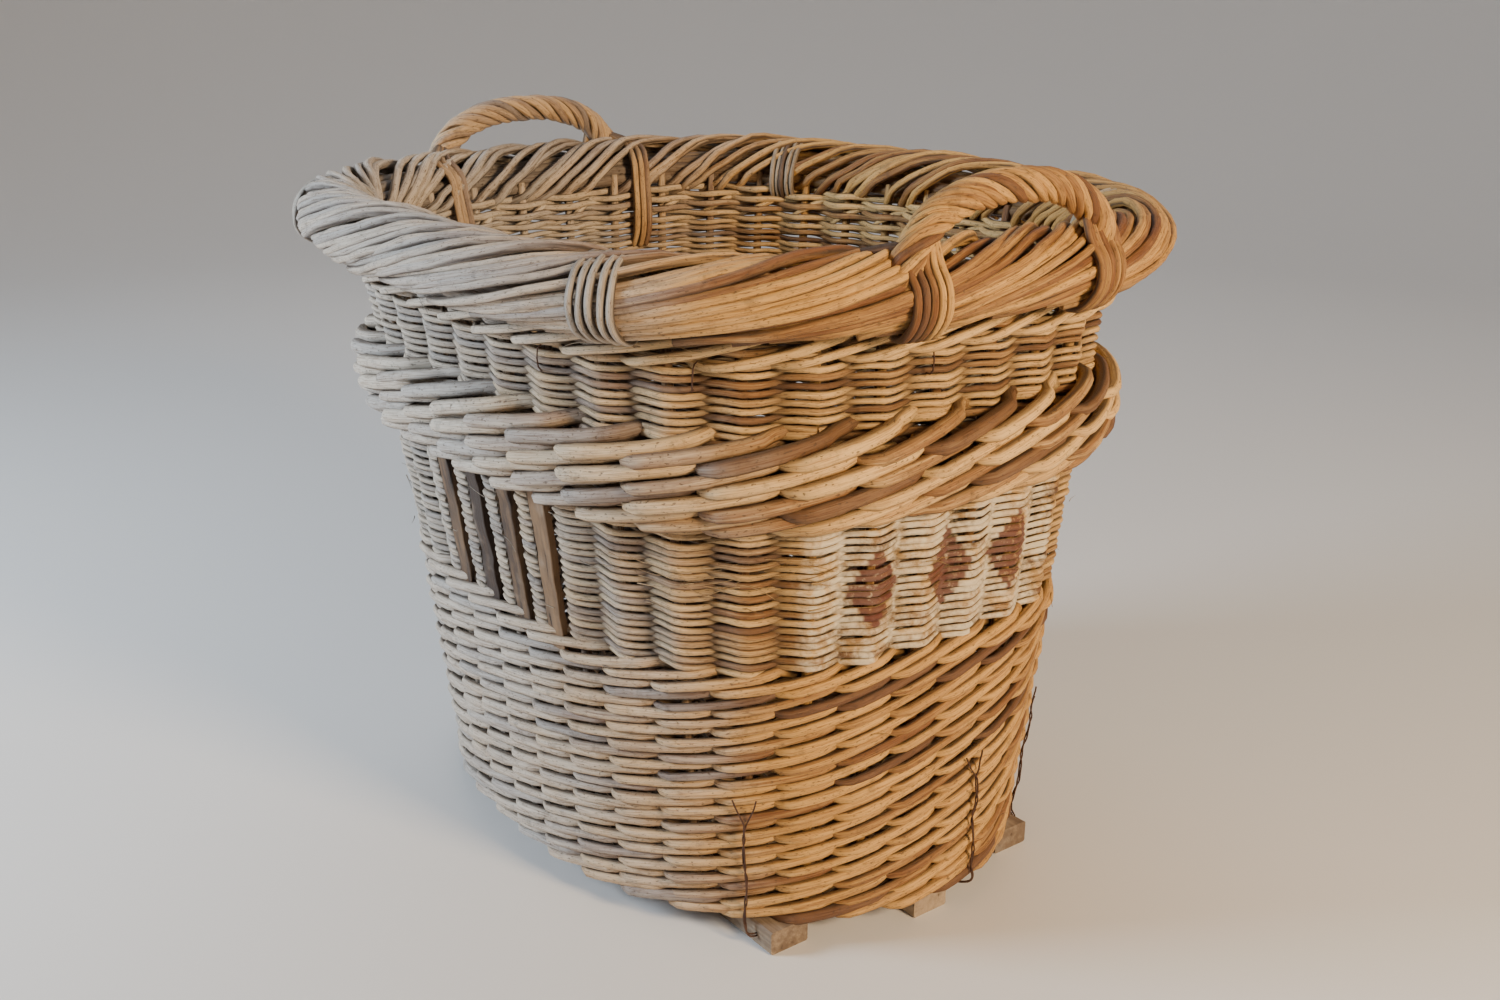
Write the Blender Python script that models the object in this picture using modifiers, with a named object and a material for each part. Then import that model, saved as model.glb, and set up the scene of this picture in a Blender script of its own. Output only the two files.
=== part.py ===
"""Wicker log basket: a willow basket on wooden runners, with a roped border and two bow handles.

The wall is a loft from an oval base to a squarer rim. Each band of weave is a ring on that loft, threaded
on upright stakes. Each stake rod is bent like a hairpin, so it stands as two stakes joined at the foot.
"""
import math

import bmesh
import bpy
from mathutils import Vector

# Driving dimensions, in metres. The wall's half sizes are those of its middle surface.
CLEARANCE = 0.0003

FLOOR_HALF_LENGTH = 0.331
FLOOR_HALF_WIDTH = 0.249
FLOOR_SQUARENESS = 2.13
SHOULDER_HALF_LENGTH = 0.327
SHOULDER_HALF_WIDTH = 0.265
RIM_HALF_LENGTH = 0.348
RIM_HALF_WIDTH = 0.307
RIM_SQUARENESS = 2.93

RUNNER_HEIGHT = 0.024
FOOT_WEAVE_HEIGHT = 0.255
LOWER_RANDING_HEIGHT = 0.141
BELT_HEIGHT = 0.078
UPPER_RANDING_HEIGHT = 0.058
TOP_WALE_HEIGHT = 0.026
BORDER_HEIGHT = 0.058

FOOT_WEAVE_SKIN = 0.006
RANDING_SKIN = 0.005
BELT_PROUD = 0.040
TOP_WALE_PROUD = 0.022
BORDER_OVERHANG = 0.058
BORDER_LEDGE = 0.014

STAKE_COUNT = 36
STAKE_RADIUS = 0.005
STAKE_SIDES = 6
STAKE_HOLE_SIDES = 4
STAKE_FOOT = 0.012
STAKE_SEAT = 0.012

MAT_THICKNESS = 0.016
MAT_PLAY = 0.001
BASE_STICK_SPACING = 0.110
BASE_STICK_RADIUS = 0.005
BASE_STICK_SEAT = 0.004

RUNNER_WIDTH = 0.043
RUNNER_SPACING = 0.143
RUNNER_OVERHANG = 0.005
MIDDLE_RUNNER_SETBACK = 0.010
RUNNER_EDGE = 0.0015
TIE_HOLE_RADIUS = 0.0022
TIE_HOLE_INSET = 0.022
TIE_WIRE_RADIUS = 0.0011
TIE_HEIGHT = 0.134
TIE_LEG_SPREAD = 0.014
TIE_PLAY = 0.003

SLOT_COUNT = 4
LATH_WIDTH = 0.022
LATH_THICKNESS = 0.008
LATH_PLAY = 0.002
SLOT_GAP = 0.012
LATH_SEAT = 0.018

HANDLE_RADIUS = 0.014
HANDLE_HALF_SPAN = 0.115
HANDLE_RISE = 0.078
HANDLE_SQUARENESS = 2.6
HANDLE_STEPS = 12
HANDLE_SEAT = 0.030
HANDLE_LEAN = 0.036
BINDING_WIDTH = 0.024
BINDING_THICKNESS = 0.003
BINDING_PLAY = 0.008
WRAP_PLAY = 0.0005
BINDING_TAIL = 0.052

LASHING_WIDTH = 0.034
LASHING_THICKNESS = 0.004
LASHING_BAY = 3

RING_STATIONS = STAKE_COUNT

# The weave stands a skin proud of its stakes, and a lath fills its slot up to a play and an open gap
FOOT_WEAVE_THICKNESS = 2 * (STAKE_RADIUS + FOOT_WEAVE_SKIN)
RANDING_THICKNESS = 2 * (STAKE_RADIUS + RANDING_SKIN)
SLOT_WIDTH = LATH_PLAY + LATH_WIDTH + SLOT_GAP
LATH_SHIFT = 0.5 * (SLOT_GAP - LATH_PLAY)

# Heights of the bands, from the ground up
FLOOR = RUNNER_HEIGHT
SHOULDER = FLOOR + FOOT_WEAVE_HEIGHT
BELT_FOOT = SHOULDER + LOWER_RANDING_HEIGHT
BELT_TOP = BELT_FOOT + BELT_HEIGHT
WALE_FOOT = BELT_TOP + UPPER_RANDING_HEIGHT
BORDER_FOOT = WALE_FOOT + TOP_WALE_HEIGHT
CREST = BORDER_FOOT + BORDER_HEIGHT

WILLOW_PALE = (0.62, 0.47, 0.29)
WILLOW_TAN = (0.55, 0.38, 0.20)
WILLOW_GREY = (0.50, 0.43, 0.34)
SPLIT_WOOD = (0.20, 0.12, 0.07)
RUNNER_WOOD = (0.38, 0.28, 0.19)
RUSTY_WIRE = (0.10, 0.055, 0.04)


def clear_scene():
    for thing in list(bpy.data.objects):
        bpy.data.objects.remove(thing)


def new_collection(name):
    collection = bpy.data.collections.new(name)
    bpy.context.scene.collection.children.link(collection)
    return collection


def new_material(name, colour, roughness, metallic=0.0):
    material = bpy.data.materials.new(name)
    material.use_nodes = True
    shader = material.node_tree.nodes["Principled BSDF"]
    shader.inputs["Base Color"].default_value = (*colour, 1.0)
    shader.inputs["Roughness"].default_value = roughness
    shader.inputs["Metallic"].default_value = metallic
    return material


def superellipse(half_length, half_width, squareness, angle):
    """Point of the plan outline at an angle; squareness 2 is an ellipse."""
    power = 2.0 / squareness
    c, s = math.cos(angle), math.sin(angle)
    x = half_length * math.copysign(abs(c) ** power, c)
    y = half_width * math.copysign(abs(s) ** power, s)
    return Vector((x, y))


class Outline:
    """A closed plan outline read by its share of the way round, from +X towards +Y."""

    FINE = 1440

    def __init__(self, half_length, half_width, squareness):
        self.points = [superellipse(half_length, half_width, squareness, math.tau * i / self.FINE)
                       for i in range(self.FINE + 1)]
        self.reach = [0.0]
        for before, after in zip(self.points, self.points[1:]):
            self.reach.append(self.reach[-1] + (after - before).length)
        self.perimeter = self.reach[-1]

    def at(self, share):
        target = (share % 1.0) * self.perimeter
        low, high = 0, self.FINE
        while high - low > 1:
            middle = (low + high) // 2
            if self.reach[middle] <= target:
                low = middle
            else:
                high = middle
        span = self.reach[high] - self.reach[low]
        return self.points[low].lerp(self.points[high], (target - self.reach[low]) / span)


FLOOR_OUTLINE = Outline(FLOOR_HALF_LENGTH, FLOOR_HALF_WIDTH, FLOOR_SQUARENESS)
SHOULDER_OUTLINE = Outline(SHOULDER_HALF_LENGTH, SHOULDER_HALF_WIDTH, RIM_SQUARENESS)
RIM_OUTLINE = Outline(RIM_HALF_LENGTH, RIM_HALF_WIDTH, RIM_SQUARENESS)


def wall_middle(share, height):
    """Point on the wall's middle surface, which is straight from floor to shoulder and on to the rim."""
    if height < SHOULDER:
        low, high, part = FLOOR_OUTLINE, SHOULDER_OUTLINE, (height - FLOOR) / (SHOULDER - FLOOR)
    else:
        low, high, part = SHOULDER_OUTLINE, RIM_OUTLINE, (height - SHOULDER) / (BORDER_FOOT - SHOULDER)
    plan = low.at(share) * (1.0 - part) + high.at(share) * part
    return Vector((plan.x, plan.y, height))


def wall_outward(share, height):
    step = 0.0005
    along = wall_middle(share + step, height) - wall_middle(share - step, height)
    return Vector((along.y, -along.x, 0.0)).normalized()


def wall_corner(station, height, proud):
    share = station / RING_STATIONS
    return wall_middle(share, height) + wall_outward(share, height) * proud


def wall_point(share, height, proud=0.0):
    """Point at a distance outside the wall's middle surface, on the straight run between two stations.

    proud is negative on the inside.
    """
    station = math.floor(share * RING_STATIONS + 1e-6)
    part = max(0.0, share * RING_STATIONS - station)
    near = wall_corner(station, height, proud)
    return near.lerp(wall_corner(station + 1, height, proud), part)


def wall_share(length):
    """Share of the way round that a length takes at the shoulder."""
    return length / SHOULDER_OUTLINE.perimeter


def loft(name, sections, closed):
    """Solid through equal loops of points; closed joins the last section to the first."""
    mesh = bpy.data.meshes.new(name)
    shape = bmesh.new()
    rows = [[shape.verts.new(point) for point in section] for section in sections]
    size = len(rows[0])
    pairs = list(zip(rows, rows[1:]))
    if closed:
        pairs.append((rows[-1], rows[0]))
    else:
        shape.faces.new(list(reversed(rows[0])))
        shape.faces.new(rows[-1])
    for near, far in pairs:
        for i in range(size):
            j = (i + 1) % size
            shape.faces.new((near[i], near[j], far[j], far[i]))
    bmesh.ops.recalc_face_normals(shape, faces=shape.faces)
    shape.to_mesh(mesh)
    shape.free()
    return mesh


def place(name, mesh, collection, material=None):
    thing = bpy.data.objects.new(name, mesh)
    collection.objects.link(thing)
    if material:
        mesh.materials.append(material)
        mesh.shade_smooth()
        mesh.set_sharp_from_angle(angle=math.radians(35))
    return thing


def hide_cutter(cutter):
    cutter.hide_render = True
    cutter.display_type = "WIRE"
    return cutter


def boolean(thing, other, operation="DIFFERENCE"):
    modifier = thing.modifiers.new(other.name, "BOOLEAN")
    modifier.operation = operation
    modifier.object = other
    modifier.solver = "EXACT"
    modifier.use_self = True


def band_sections(profile, shares):
    """Sections of a band: profile is a loop of (height, proud) pairs."""
    return [[wall_point(share, height, proud) for height, proud in profile] for share in shares]


def ring_shares(count=RING_STATIONS):
    return [i / count for i in range(count)]


def plain_profile(low, high, inside, outside):
    return [(low, -inside), (low, outside), (high, outside), (high, -inside)]


def grow_profile(profile, distance):
    """The same loop of (height, proud) pairs moved outwards by a distance on every side."""
    grown = []
    for i, (height, proud) in enumerate(profile):
        before, after = profile[i - 1], profile[(i + 1) % len(profile)]
        edges = [Vector((proud - before[1], height - before[0])).normalized(),
                 Vector((after[1] - proud, after[0] - height)).normalized()]
        normals = [Vector((edge.y, -edge.x)) for edge in edges]
        mitre = (normals[0] + normals[1]) / (1.0 + normals[0].dot(normals[1]))
        grown.append((height + mitre.y * distance, proud + mitre.x * distance))
    return grown


def tube(name, path, radius, collection, material=None, sides=8):
    """Closed round tube along a list of points, with mitred bends and flat ends."""
    runs = [(after - before).normalized() for before, after in zip(path, path[1:])]
    side = runs[0].orthogonal().normalized()
    across = runs[0].cross(side)
    spokes = [(side * math.cos(math.tau * k / sides) + across * math.sin(math.tau * k / sides)) * radius
              for k in range(sides)]
    sections = [[path[0] + spoke for spoke in spokes]]
    for point, before, after in zip(path[1:-1], runs, runs[1:]):
        plane = (before + after).normalized()
        mitred = [spoke - before * (spoke.dot(plane) / before.dot(plane)) for spoke in spokes]
        sections.append([point + spoke for spoke in mitred])
        spokes = [spoke - after * spoke.dot(after) for spoke in mitred]
    sections.append([path[-1] + spoke for spoke in spokes])
    return place(name, loft(name, sections, closed=False), collection, material)


def curve_tube(name, path, radius, collection, material):
    """Round rod along a path as a curve with filled ends."""
    curve = bpy.data.curves.new(name, "CURVE")
    curve.dimensions = "3D"
    curve.bevel_depth = radius
    curve.bevel_resolution = 2
    curve.use_fill_caps = True
    spline = curve.splines.new("POLY")
    spline.points.add(len(path) - 1)
    for target, point in zip(spline.points, path):
        target.co = (*point, 1.0)
    curve.materials.append(material)
    rod = bpy.data.objects.new(name, curve)
    collection.objects.link(rod)
    return rod


def bar_mesh(name, start, end, across, width, thickness):
    """Straight bar of rectangular section between two points."""
    along = (end - start).normalized()
    side = (across - along * across.dot(along)).normalized()
    face = along.cross(side)
    corners = [(-0.5, -0.5), (0.5, -0.5), (0.5, 0.5), (-0.5, 0.5)]
    sections = [[point + side * u * width + face * v * thickness for u, v in corners]
                for point in (start, end)]
    return loft(name, sections, closed=False)


def stake_share(index):
    return (index + 0.5) / STAKE_COUNT


def bay_share(index):
    """Middle of the bay between two stakes; bay 0 is on the +X axis."""
    return index / STAKE_COUNT


def hairpin_path(pair, extra=0.0):
    """Down one stake, along under the bay between them and up the next stake."""
    first, bay, second = stake_share(2 * pair), bay_share(2 * pair + 1), stake_share(2 * pair + 1)
    foot = FLOOR + STAKE_FOOT
    top = BORDER_FOOT + STAKE_SEAT + extra
    return [wall_point(first, top), wall_point(first, SHOULDER), wall_point(first, foot), wall_point(bay, foot),
            wall_point(second, foot), wall_point(second, SHOULDER), wall_point(second, top)]


def make_stakes(parts, material):
    for pair in range(STAKE_COUNT // 2):
        tube(f"stake_pair_{pair + 1:02d}", hairpin_path(pair), STAKE_RADIUS, parts, material, sides=STAKE_SIDES)


def make_stake_holes(cutters):
    """All the hairpins, a little fatter, as one cutter of separate rods."""
    radius = (STAKE_RADIUS + CLEARANCE) / math.cos(math.pi / STAKE_HOLE_SIDES) + CLEARANCE
    shape = bmesh.new()
    for pair in range(STAKE_COUNT // 2):
        rod = tube("stake_hole", hairpin_path(pair, CLEARANCE), radius, cutters, sides=STAKE_HOLE_SIDES)
        shape.from_mesh(rod.data)
        bpy.data.objects.remove(rod)
    mesh = bpy.data.meshes.new("stake_holes")
    shape.to_mesh(mesh)
    shape.free()
    return hide_cutter(place("stake_holes", mesh, cutters))


def border_profile():
    """Section of the rolled border: a soft roll that hangs over the wall's outside."""
    foot = BORDER_FOOT + CLEARANCE
    height = CREST - foot
    return [(foot, -0.7 * BORDER_LEDGE), (foot, TOP_WALE_PROUD + 0.004),
            (foot + 0.02 * height, 0.65 * BORDER_OVERHANG), (foot + 0.16 * height, 0.92 * BORDER_OVERHANG),
            (foot + 0.48 * height, BORDER_OVERHANG), (foot + 0.82 * height, 0.82 * BORDER_OVERHANG),
            (CREST, 0.55 * BORDER_OVERHANG), (foot + 0.94 * height, 0.18 * BORDER_OVERHANG),
            (foot + 0.62 * height, -0.6 * BORDER_LEDGE), (foot + 0.25 * height, -BORDER_LEDGE)]


def make_border(parts, stake_holes, material):
    """The rolled border, with a blind hole for the top of each stake."""
    border = place("border", loft("border", band_sections(border_profile(), ring_shares()), closed=True),
                   parts, material)
    boolean(border, stake_holes)
    return border


def make_bands(parts, stake_holes, materials):
    """The five rings of weave, each threaded on the stakes."""
    half = 0.5 * FOOT_WEAVE_THICKNESS
    thin = 0.5 * RANDING_THICKNESS
    foot = plain_profile(FLOOR, SHOULDER, half, half)
    belt_low, belt_high = BELT_FOOT + CLEARANCE, BELT_TOP
    belt = [(belt_low, -half), (belt_low, 0.75 * BELT_PROUD), (belt_low + 0.14 * BELT_HEIGHT, BELT_PROUD),
            (belt_high - 0.14 * BELT_HEIGHT, 0.95 * BELT_PROUD), (belt_high, 0.65 * BELT_PROUD),
            (belt_high, -half)]
    upper = plain_profile(BELT_TOP + CLEARANCE, WALE_FOOT, thin, thin)
    wale = plain_profile(WALE_FOOT + CLEARANCE, BORDER_FOOT, half, TOP_WALE_PROUD)
    rings = {}
    for name, profile, material in (("foot_weave", foot, materials["tan"]), ("belt_wale", belt, materials["pale"]),
                                    ("upper_randing", upper, materials["pale"]),
                                    ("top_wale", wale, materials["pale"])):
        mesh = loft(name, band_sections(profile, ring_shares()), closed=True)
        rings[name] = place(name, mesh, parts, material)
        boolean(rings[name], stake_holes)
    return rings


def slot_centres():
    """Shares of the slots, in bays on the -Y side that lie a little towards +X."""
    first = 3 * STAKE_COUNT // 4 - 1
    return [bay_share(first + slot) for slot in range(SLOT_COUNT)]


def make_lower_randing(parts, stake_holes, material):
    """Panels of fine weave between the slots, which run the band's full height."""
    half = 0.5 * wall_share(SLOT_WIDTH)
    thin = 0.5 * RANDING_THICKNESS
    profile = plain_profile(SHOULDER + CLEARANCE, BELT_FOOT, thin, thin)
    centres = slot_centres()
    for number, centre in enumerate(centres):
        start = centres[number - 1] - (0.0 if number else 1.0) + half
        end = centre - half
        corners = [station / RING_STATIONS for station in range(-RING_STATIONS, RING_STATIONS)
                   if start < station / RING_STATIONS < end]
        name = f"slot_column_{number}" if number else "lower_randing"
        mesh = loft(name, band_sections(profile, [start, *corners, end]), closed=False)
        boolean(place(name, mesh, parts, material), stake_holes)


def make_laths(parts, cutters, rings, material):
    """A split wooden lath stands in each slot, with its ends tucked into the bands below and above."""
    for number, centre in enumerate(slot_centres(), start=1):
        share = centre - wall_share(LATH_SHIFT)
        low = wall_point(share, SHOULDER)
        high = wall_point(share, BELT_FOOT)
        along = (high - low).normalized()
        across = along.cross(wall_outward(share, SHOULDER))
        start, end = low - along * LATH_SEAT, high + along * LATH_SEAT
        bar = bar_mesh(f"lath_{number}", start, end, across, LATH_WIDTH, LATH_THICKNESS)
        place(f"lath_{number}", bar, parts, material)
        pocket = bar_mesh(f"lath_pocket_{number}", start - along * CLEARANCE, end + along * CLEARANCE, across,
                          LATH_WIDTH + 2 * CLEARANCE, LATH_THICKNESS + 2 * CLEARANCE)
        cutter = hide_cutter(place(f"lath_pocket_{number}", pocket, cutters))
        boolean(rings["foot_weave"], cutter)
        boolean(rings["belt_wale"], cutter)


def half_chord(offset, proud):
    """Half length of the floor outline along X at a distance from its centre line."""
    half_length, half_width = FLOOR_HALF_LENGTH + proud, FLOOR_HALF_WIDTH + proud
    return half_length * (1.0 - abs(offset / half_width) ** FLOOR_SQUARENESS) ** (1.0 / FLOOR_SQUARENESS)


def make_base(parts, cutters, rings, materials):
    """Woven base mat on three sticks whose ends are pushed into the foot weave."""
    gap = 0.5 * FOOT_WEAVE_THICKNESS + MAT_PLAY
    sections = [[wall_point(share, height, -gap) for share in ring_shares()]
                for height in (FLOOR, FLOOR + MAT_THICKNESS)]
    mat = place("base_mat", loft("base_mat", sections, closed=False), parts, materials["grey"])
    height = FLOOR + 0.5 * MAT_THICKNESS
    for number, offset in enumerate((-BASE_STICK_SPACING, 0.0, BASE_STICK_SPACING), start=1):
        reach = half_chord(offset, -0.5 * FOOT_WEAVE_THICKNESS) + BASE_STICK_SEAT
        ends = [Vector((sign * reach, offset, height)) for sign in (-1, 1)]
        tube(f"base_stick_{number}", ends, BASE_STICK_RADIUS, parts, materials["tan"])
        grown = [Vector((sign * (reach + CLEARANCE), offset, height)) for sign in (-1, 1)]
        cutter = hide_cutter(tube(f"base_stick_hole_{number}", grown, BASE_STICK_RADIUS + 1.2 * CLEARANCE, cutters))
        boolean(mat, cutter)
        boolean(rings["foot_weave"], cutter)


def runner_reach(offset):
    """Half length of a runner: the outer ones stand out past the weave, the middle one stops short of it."""
    overhang = RUNNER_OVERHANG if offset else -MIDDLE_RUNNER_SETBACK
    return half_chord(abs(offset), 0.5 * FOOT_WEAVE_THICKNESS) + overhang


def make_runner(number, offset, parts, cutters, material):
    """Sawn wooden runner under the base, drilled across near both ends for its wire ties."""
    reach = runner_reach(offset)
    height = RUNNER_HEIGHT - CLEARANCE
    bpy.ops.mesh.primitive_cube_add(size=1.0, location=(0.0, offset, 0.5 * height))
    runner = bpy.context.object
    runner.name = f"runner_{number}"
    runner.data.name = runner.name
    for vertex in runner.data.vertices:
        vertex.co = (vertex.co.x * 2.0 * reach, vertex.co.y * RUNNER_WIDTH, vertex.co.z * height)
    move_to(runner, parts)
    runner.data.materials.append(material)
    bevel = runner.modifiers.new("worn edges", "BEVEL")
    bevel.width = RUNNER_EDGE
    bevel.segments = 1
    for sign in (-1, 1):
        centre = Vector((sign * (reach - TIE_HOLE_INSET), offset, 0.5 * RUNNER_HEIGHT))
        across = Vector((0.0, RUNNER_WIDTH, 0.0))
        drill = tube(f"tie_hole_{number}_{sign}", [centre - across, centre + across], TIE_HOLE_RADIUS, cutters)
        boolean(runner, hide_cutter(drill))
    return runner


def move_to(thing, collection):
    for owner in list(thing.users_collection):
        owner.objects.unlink(thing)
    collection.objects.link(thing)


def nearest_share(x, y):
    """Share of the floor outline that lies nearest to a place."""
    place_at = Vector((x, y))
    return min((i / 720 for i in range(720)), key=lambda share: (FLOOR_OUTLINE.at(share) - place_at).length)


def make_tie(number, offset, end, parts, material):
    """Wire through the runner's hole: its outer leg climbs the weave and its inner leg turns up short."""
    outward = -1.0 if offset < 0 else 1.0
    hole_x = end * (runner_reach(offset) - TIE_HOLE_INSET)
    hole_z = 0.5 * RUNNER_HEIGHT
    face = 0.5 * RUNNER_WIDTH + 3.0 * TIE_WIRE_RADIUS
    hole_out = Vector((hole_x, offset + outward * face, hole_z))
    hole_in = Vector((hole_x, offset - outward * face, hole_z))
    hook = hole_in + Vector((0.0, 0.0, 0.25 * RUNNER_HEIGHT))
    proud = 0.5 * FOOT_WEAVE_THICKNESS + TIE_WIRE_RADIUS + TIE_PLAY
    share = nearest_share(hole_x, offset + outward * (face + TIE_LEG_SPREAD))
    foot = wall_point(share, FLOOR, proud) - Vector((0.0, 0.0, 3.0 * TIE_WIRE_RADIUS))
    climb = [wall_point(share, FLOOR + TIE_HEIGHT * part, proud) for part in (0.05, 0.35, 0.7, 1.0)]
    curve_tube(f"runner_tie_{number}", [hook, hole_in, hole_out, foot, *climb], TIE_WIRE_RADIUS, parts, material)


def make_runners(parts, cutters, materials):
    offsets = (-RUNNER_SPACING, 0.0, RUNNER_SPACING)
    for number, offset in enumerate(offsets, start=1):
        make_runner(number, offset, parts, cutters, materials["runner"])
    number = 0
    for offset in offsets:
        for end in (1.0, -1.0):
            number += 1
            make_tie(number, offset, end, parts, materials["wire"])


def handle_path(end, extra=0.0):
    """Half ellipse over the border, with straight feet that are pushed down into it."""
    start = CREST - HANDLE_SEAT
    side = end * (RIM_HALF_LENGTH + HANDLE_LEAN)
    turns = [superellipse(HANDLE_HALF_SPAN, HANDLE_RISE, HANDLE_SQUARENESS, math.pi * i / HANDLE_STEPS)
             for i in range(HANDLE_STEPS + 1)]
    arch = [Vector((side, -turn.x, start + turn.y)) for turn in turns]
    drop = Vector((0.0, 0.0, 0.35 * HANDLE_SEAT + extra))
    return [arch[0] - drop, *arch, arch[-1] - drop]


def make_handles(parts, cutters, border, material):
    """Two roped bows, one over each short side."""
    for name, end in (("handle_plus_x", 1.0), ("handle_minus_x", -1.0)):
        tube(name, handle_path(end), HANDLE_RADIUS, parts, material)
        socket = tube(f"{name}_socket", handle_path(end, CLEARANCE), HANDLE_RADIUS + 1.5 * CLEARANCE, cutters)
        boolean(border, hide_cutter(socket))


def crest_share(across):
    """Share at which the crest near the +X end is a distance across from the centre line."""
    low, high = 0.0, 0.125
    for _ in range(30):
        middle = 0.5 * (low + high)
        if wall_point(middle, CREST, HANDLE_LEAN).y < across:
            low = middle
        else:
            high = middle
    return low


def strap_sections(line, shares, gap, thickness):
    """Sections of an open strap laid on a line of (height, proud) pairs."""
    inner = grow_open(line, gap)
    outer = grow_open(line, gap + thickness)
    return band_sections(inner + list(reversed(outer)), shares)


def grow_open(line, distance):
    grown = []
    for i, (height, proud) in enumerate(line):
        before, after = line[max(i - 1, 0)], line[min(i + 1, len(line) - 1)]
        first = Vector((proud - before[1], height - before[0])) if i else None
        second = Vector((after[1] - proud, after[0] - height)) if i < len(line) - 1 else None
        edges = [edge.normalized() for edge in (first, second) if edge is not None]
        normals = [Vector((edge.y, -edge.x)) for edge in edges]
        mitre = normals[0] if len(normals) == 1 else (
            (normals[0] + normals[1]) / (1.0 + normals[0].dot(normals[1])))
        grown.append((height + mitre.y * distance, proud + mitre.x * distance))
    return grown


def make_bindings(parts, material):
    """Tails of the handle's rods: each lies over the border beside a foot and tucks in inside the wall."""
    profile = border_profile()
    down_inside = [(height, -BORDER_LEDGE) for height in (BORDER_FOOT, WALE_FOOT, BORDER_FOOT - BINDING_TAIL)]
    line = [*profile[3:], *down_inside]
    edge = HANDLE_HALF_SPAN - HANDLE_RADIUS - BINDING_PLAY
    reach = [crest_share(edge - BINDING_WIDTH * part) for part in (1.0, 0.5, 0.0)]
    number = 0
    for middle in (0.0, 0.5):
        for sign in (-1, 1):
            number += 1
            shares = sorted(middle + sign * share for share in reach)
            mesh = loft(f"handle_binding_{number}", strap_sections(line, shares, WRAP_PLAY, BINDING_THICKNESS),
                        closed=False)
            place(f"handle_binding_{number}", mesh, parts, material)


def make_lashings(parts, cutters, rings, material):
    """Skeins wound right round the border in the bays near its corners."""
    quarter = STAKE_COUNT // 4
    bays = [quarter - LASHING_BAY - 1, quarter + LASHING_BAY + 1,
            3 * quarter - LASHING_BAY - 1, 3 * quarter + LASHING_BAY + 1]
    inner = grow_profile(border_profile(), WRAP_PLAY)
    outer = grow_profile(border_profile(), WRAP_PLAY + LASHING_THICKNESS)
    hollow = grow_profile(border_profile(), 2 * WRAP_PLAY + LASHING_THICKNESS)
    for number, bay in enumerate(bays, start=1):
        half = 0.5 * wall_share(LASHING_WIDTH)
        shares = [bay_share(bay) - half, bay_share(bay), bay_share(bay) + half]
        name = f"lashing_{number}"
        mesh = wrap_mesh(name, band_sections(inner, shares), band_sections(outer, shares))
        place(name, mesh, parts, material)
        wide = [shares[0] - wall_share(CLEARANCE), shares[1], shares[2] + wall_share(CLEARANCE)]
        cutter = place(f"{name}_channel", loft(f"{name}_channel", band_sections(hollow, wide), closed=False), cutters)
        boolean(rings["top_wale"], hide_cutter(cutter))


def wrap_mesh(name, inner_sections, outer_sections):
    """Short sleeve between an inner and an outer loop, open at both ends."""
    mesh = bpy.data.meshes.new(name)
    shape = bmesh.new()
    inner = [[shape.verts.new(point) for point in section] for section in inner_sections]
    outer = [[shape.verts.new(point) for point in section] for section in outer_sections]
    size = len(inner[0])
    for i in range(size):
        j = (i + 1) % size
        for near, far in zip(range(len(inner) - 1), range(1, len(inner))):
            shape.faces.new((inner[near][i], inner[near][j], inner[far][j], inner[far][i]))
            shape.faces.new((outer[near][j], outer[near][i], outer[far][i], outer[far][j]))
        shape.faces.new((inner[0][j], inner[0][i], outer[0][i], outer[0][j]))
        shape.faces.new((inner[-1][i], inner[-1][j], outer[-1][j], outer[-1][i]))
    bmesh.ops.recalc_face_normals(shape, faces=shape.faces)
    shape.to_mesh(mesh)
    shape.free()
    return mesh


def main():
    clear_scene()
    parts = new_collection("wicker_log_basket")
    cutters = new_collection("cutters")
    materials = {
        "pale": new_material("willow_pale", WILLOW_PALE, 0.62),
        "tan": new_material("willow_tan", WILLOW_TAN, 0.62),
        "grey": new_material("willow_grey", WILLOW_GREY, 0.70),
        "lath": new_material("split_wood", SPLIT_WOOD, 0.75),
        "runner": new_material("runner_wood", RUNNER_WOOD, 0.80),
        "wire": new_material("rusty_wire", RUSTY_WIRE, 0.55, 0.8),
    }
    make_stakes(parts, materials["tan"])
    stake_holes = make_stake_holes(cutters)
    border = make_border(parts, stake_holes, materials["tan"])
    rings = make_bands(parts, stake_holes, materials)
    make_lower_randing(parts, stake_holes, materials["pale"])
    make_laths(parts, cutters, rings, materials["lath"])
    make_base(parts, cutters, rings, materials)
    make_runners(parts, cutters, materials)
    make_handles(parts, cutters, border, materials["tan"])
    make_bindings(parts, materials["tan"])
    make_lashings(parts, cutters, rings, materials["grey"])


main()
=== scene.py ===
"""Looks of a wicker log basket: every willow rod, its handles, lashings, laths and runners."""
import math

import bmesh
import bpy
import numpy as np
from bpy.props import FloatProperty, FloatVectorProperty, IntProperty, PointerProperty
from mathutils import Euler, Matrix, Vector


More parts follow.
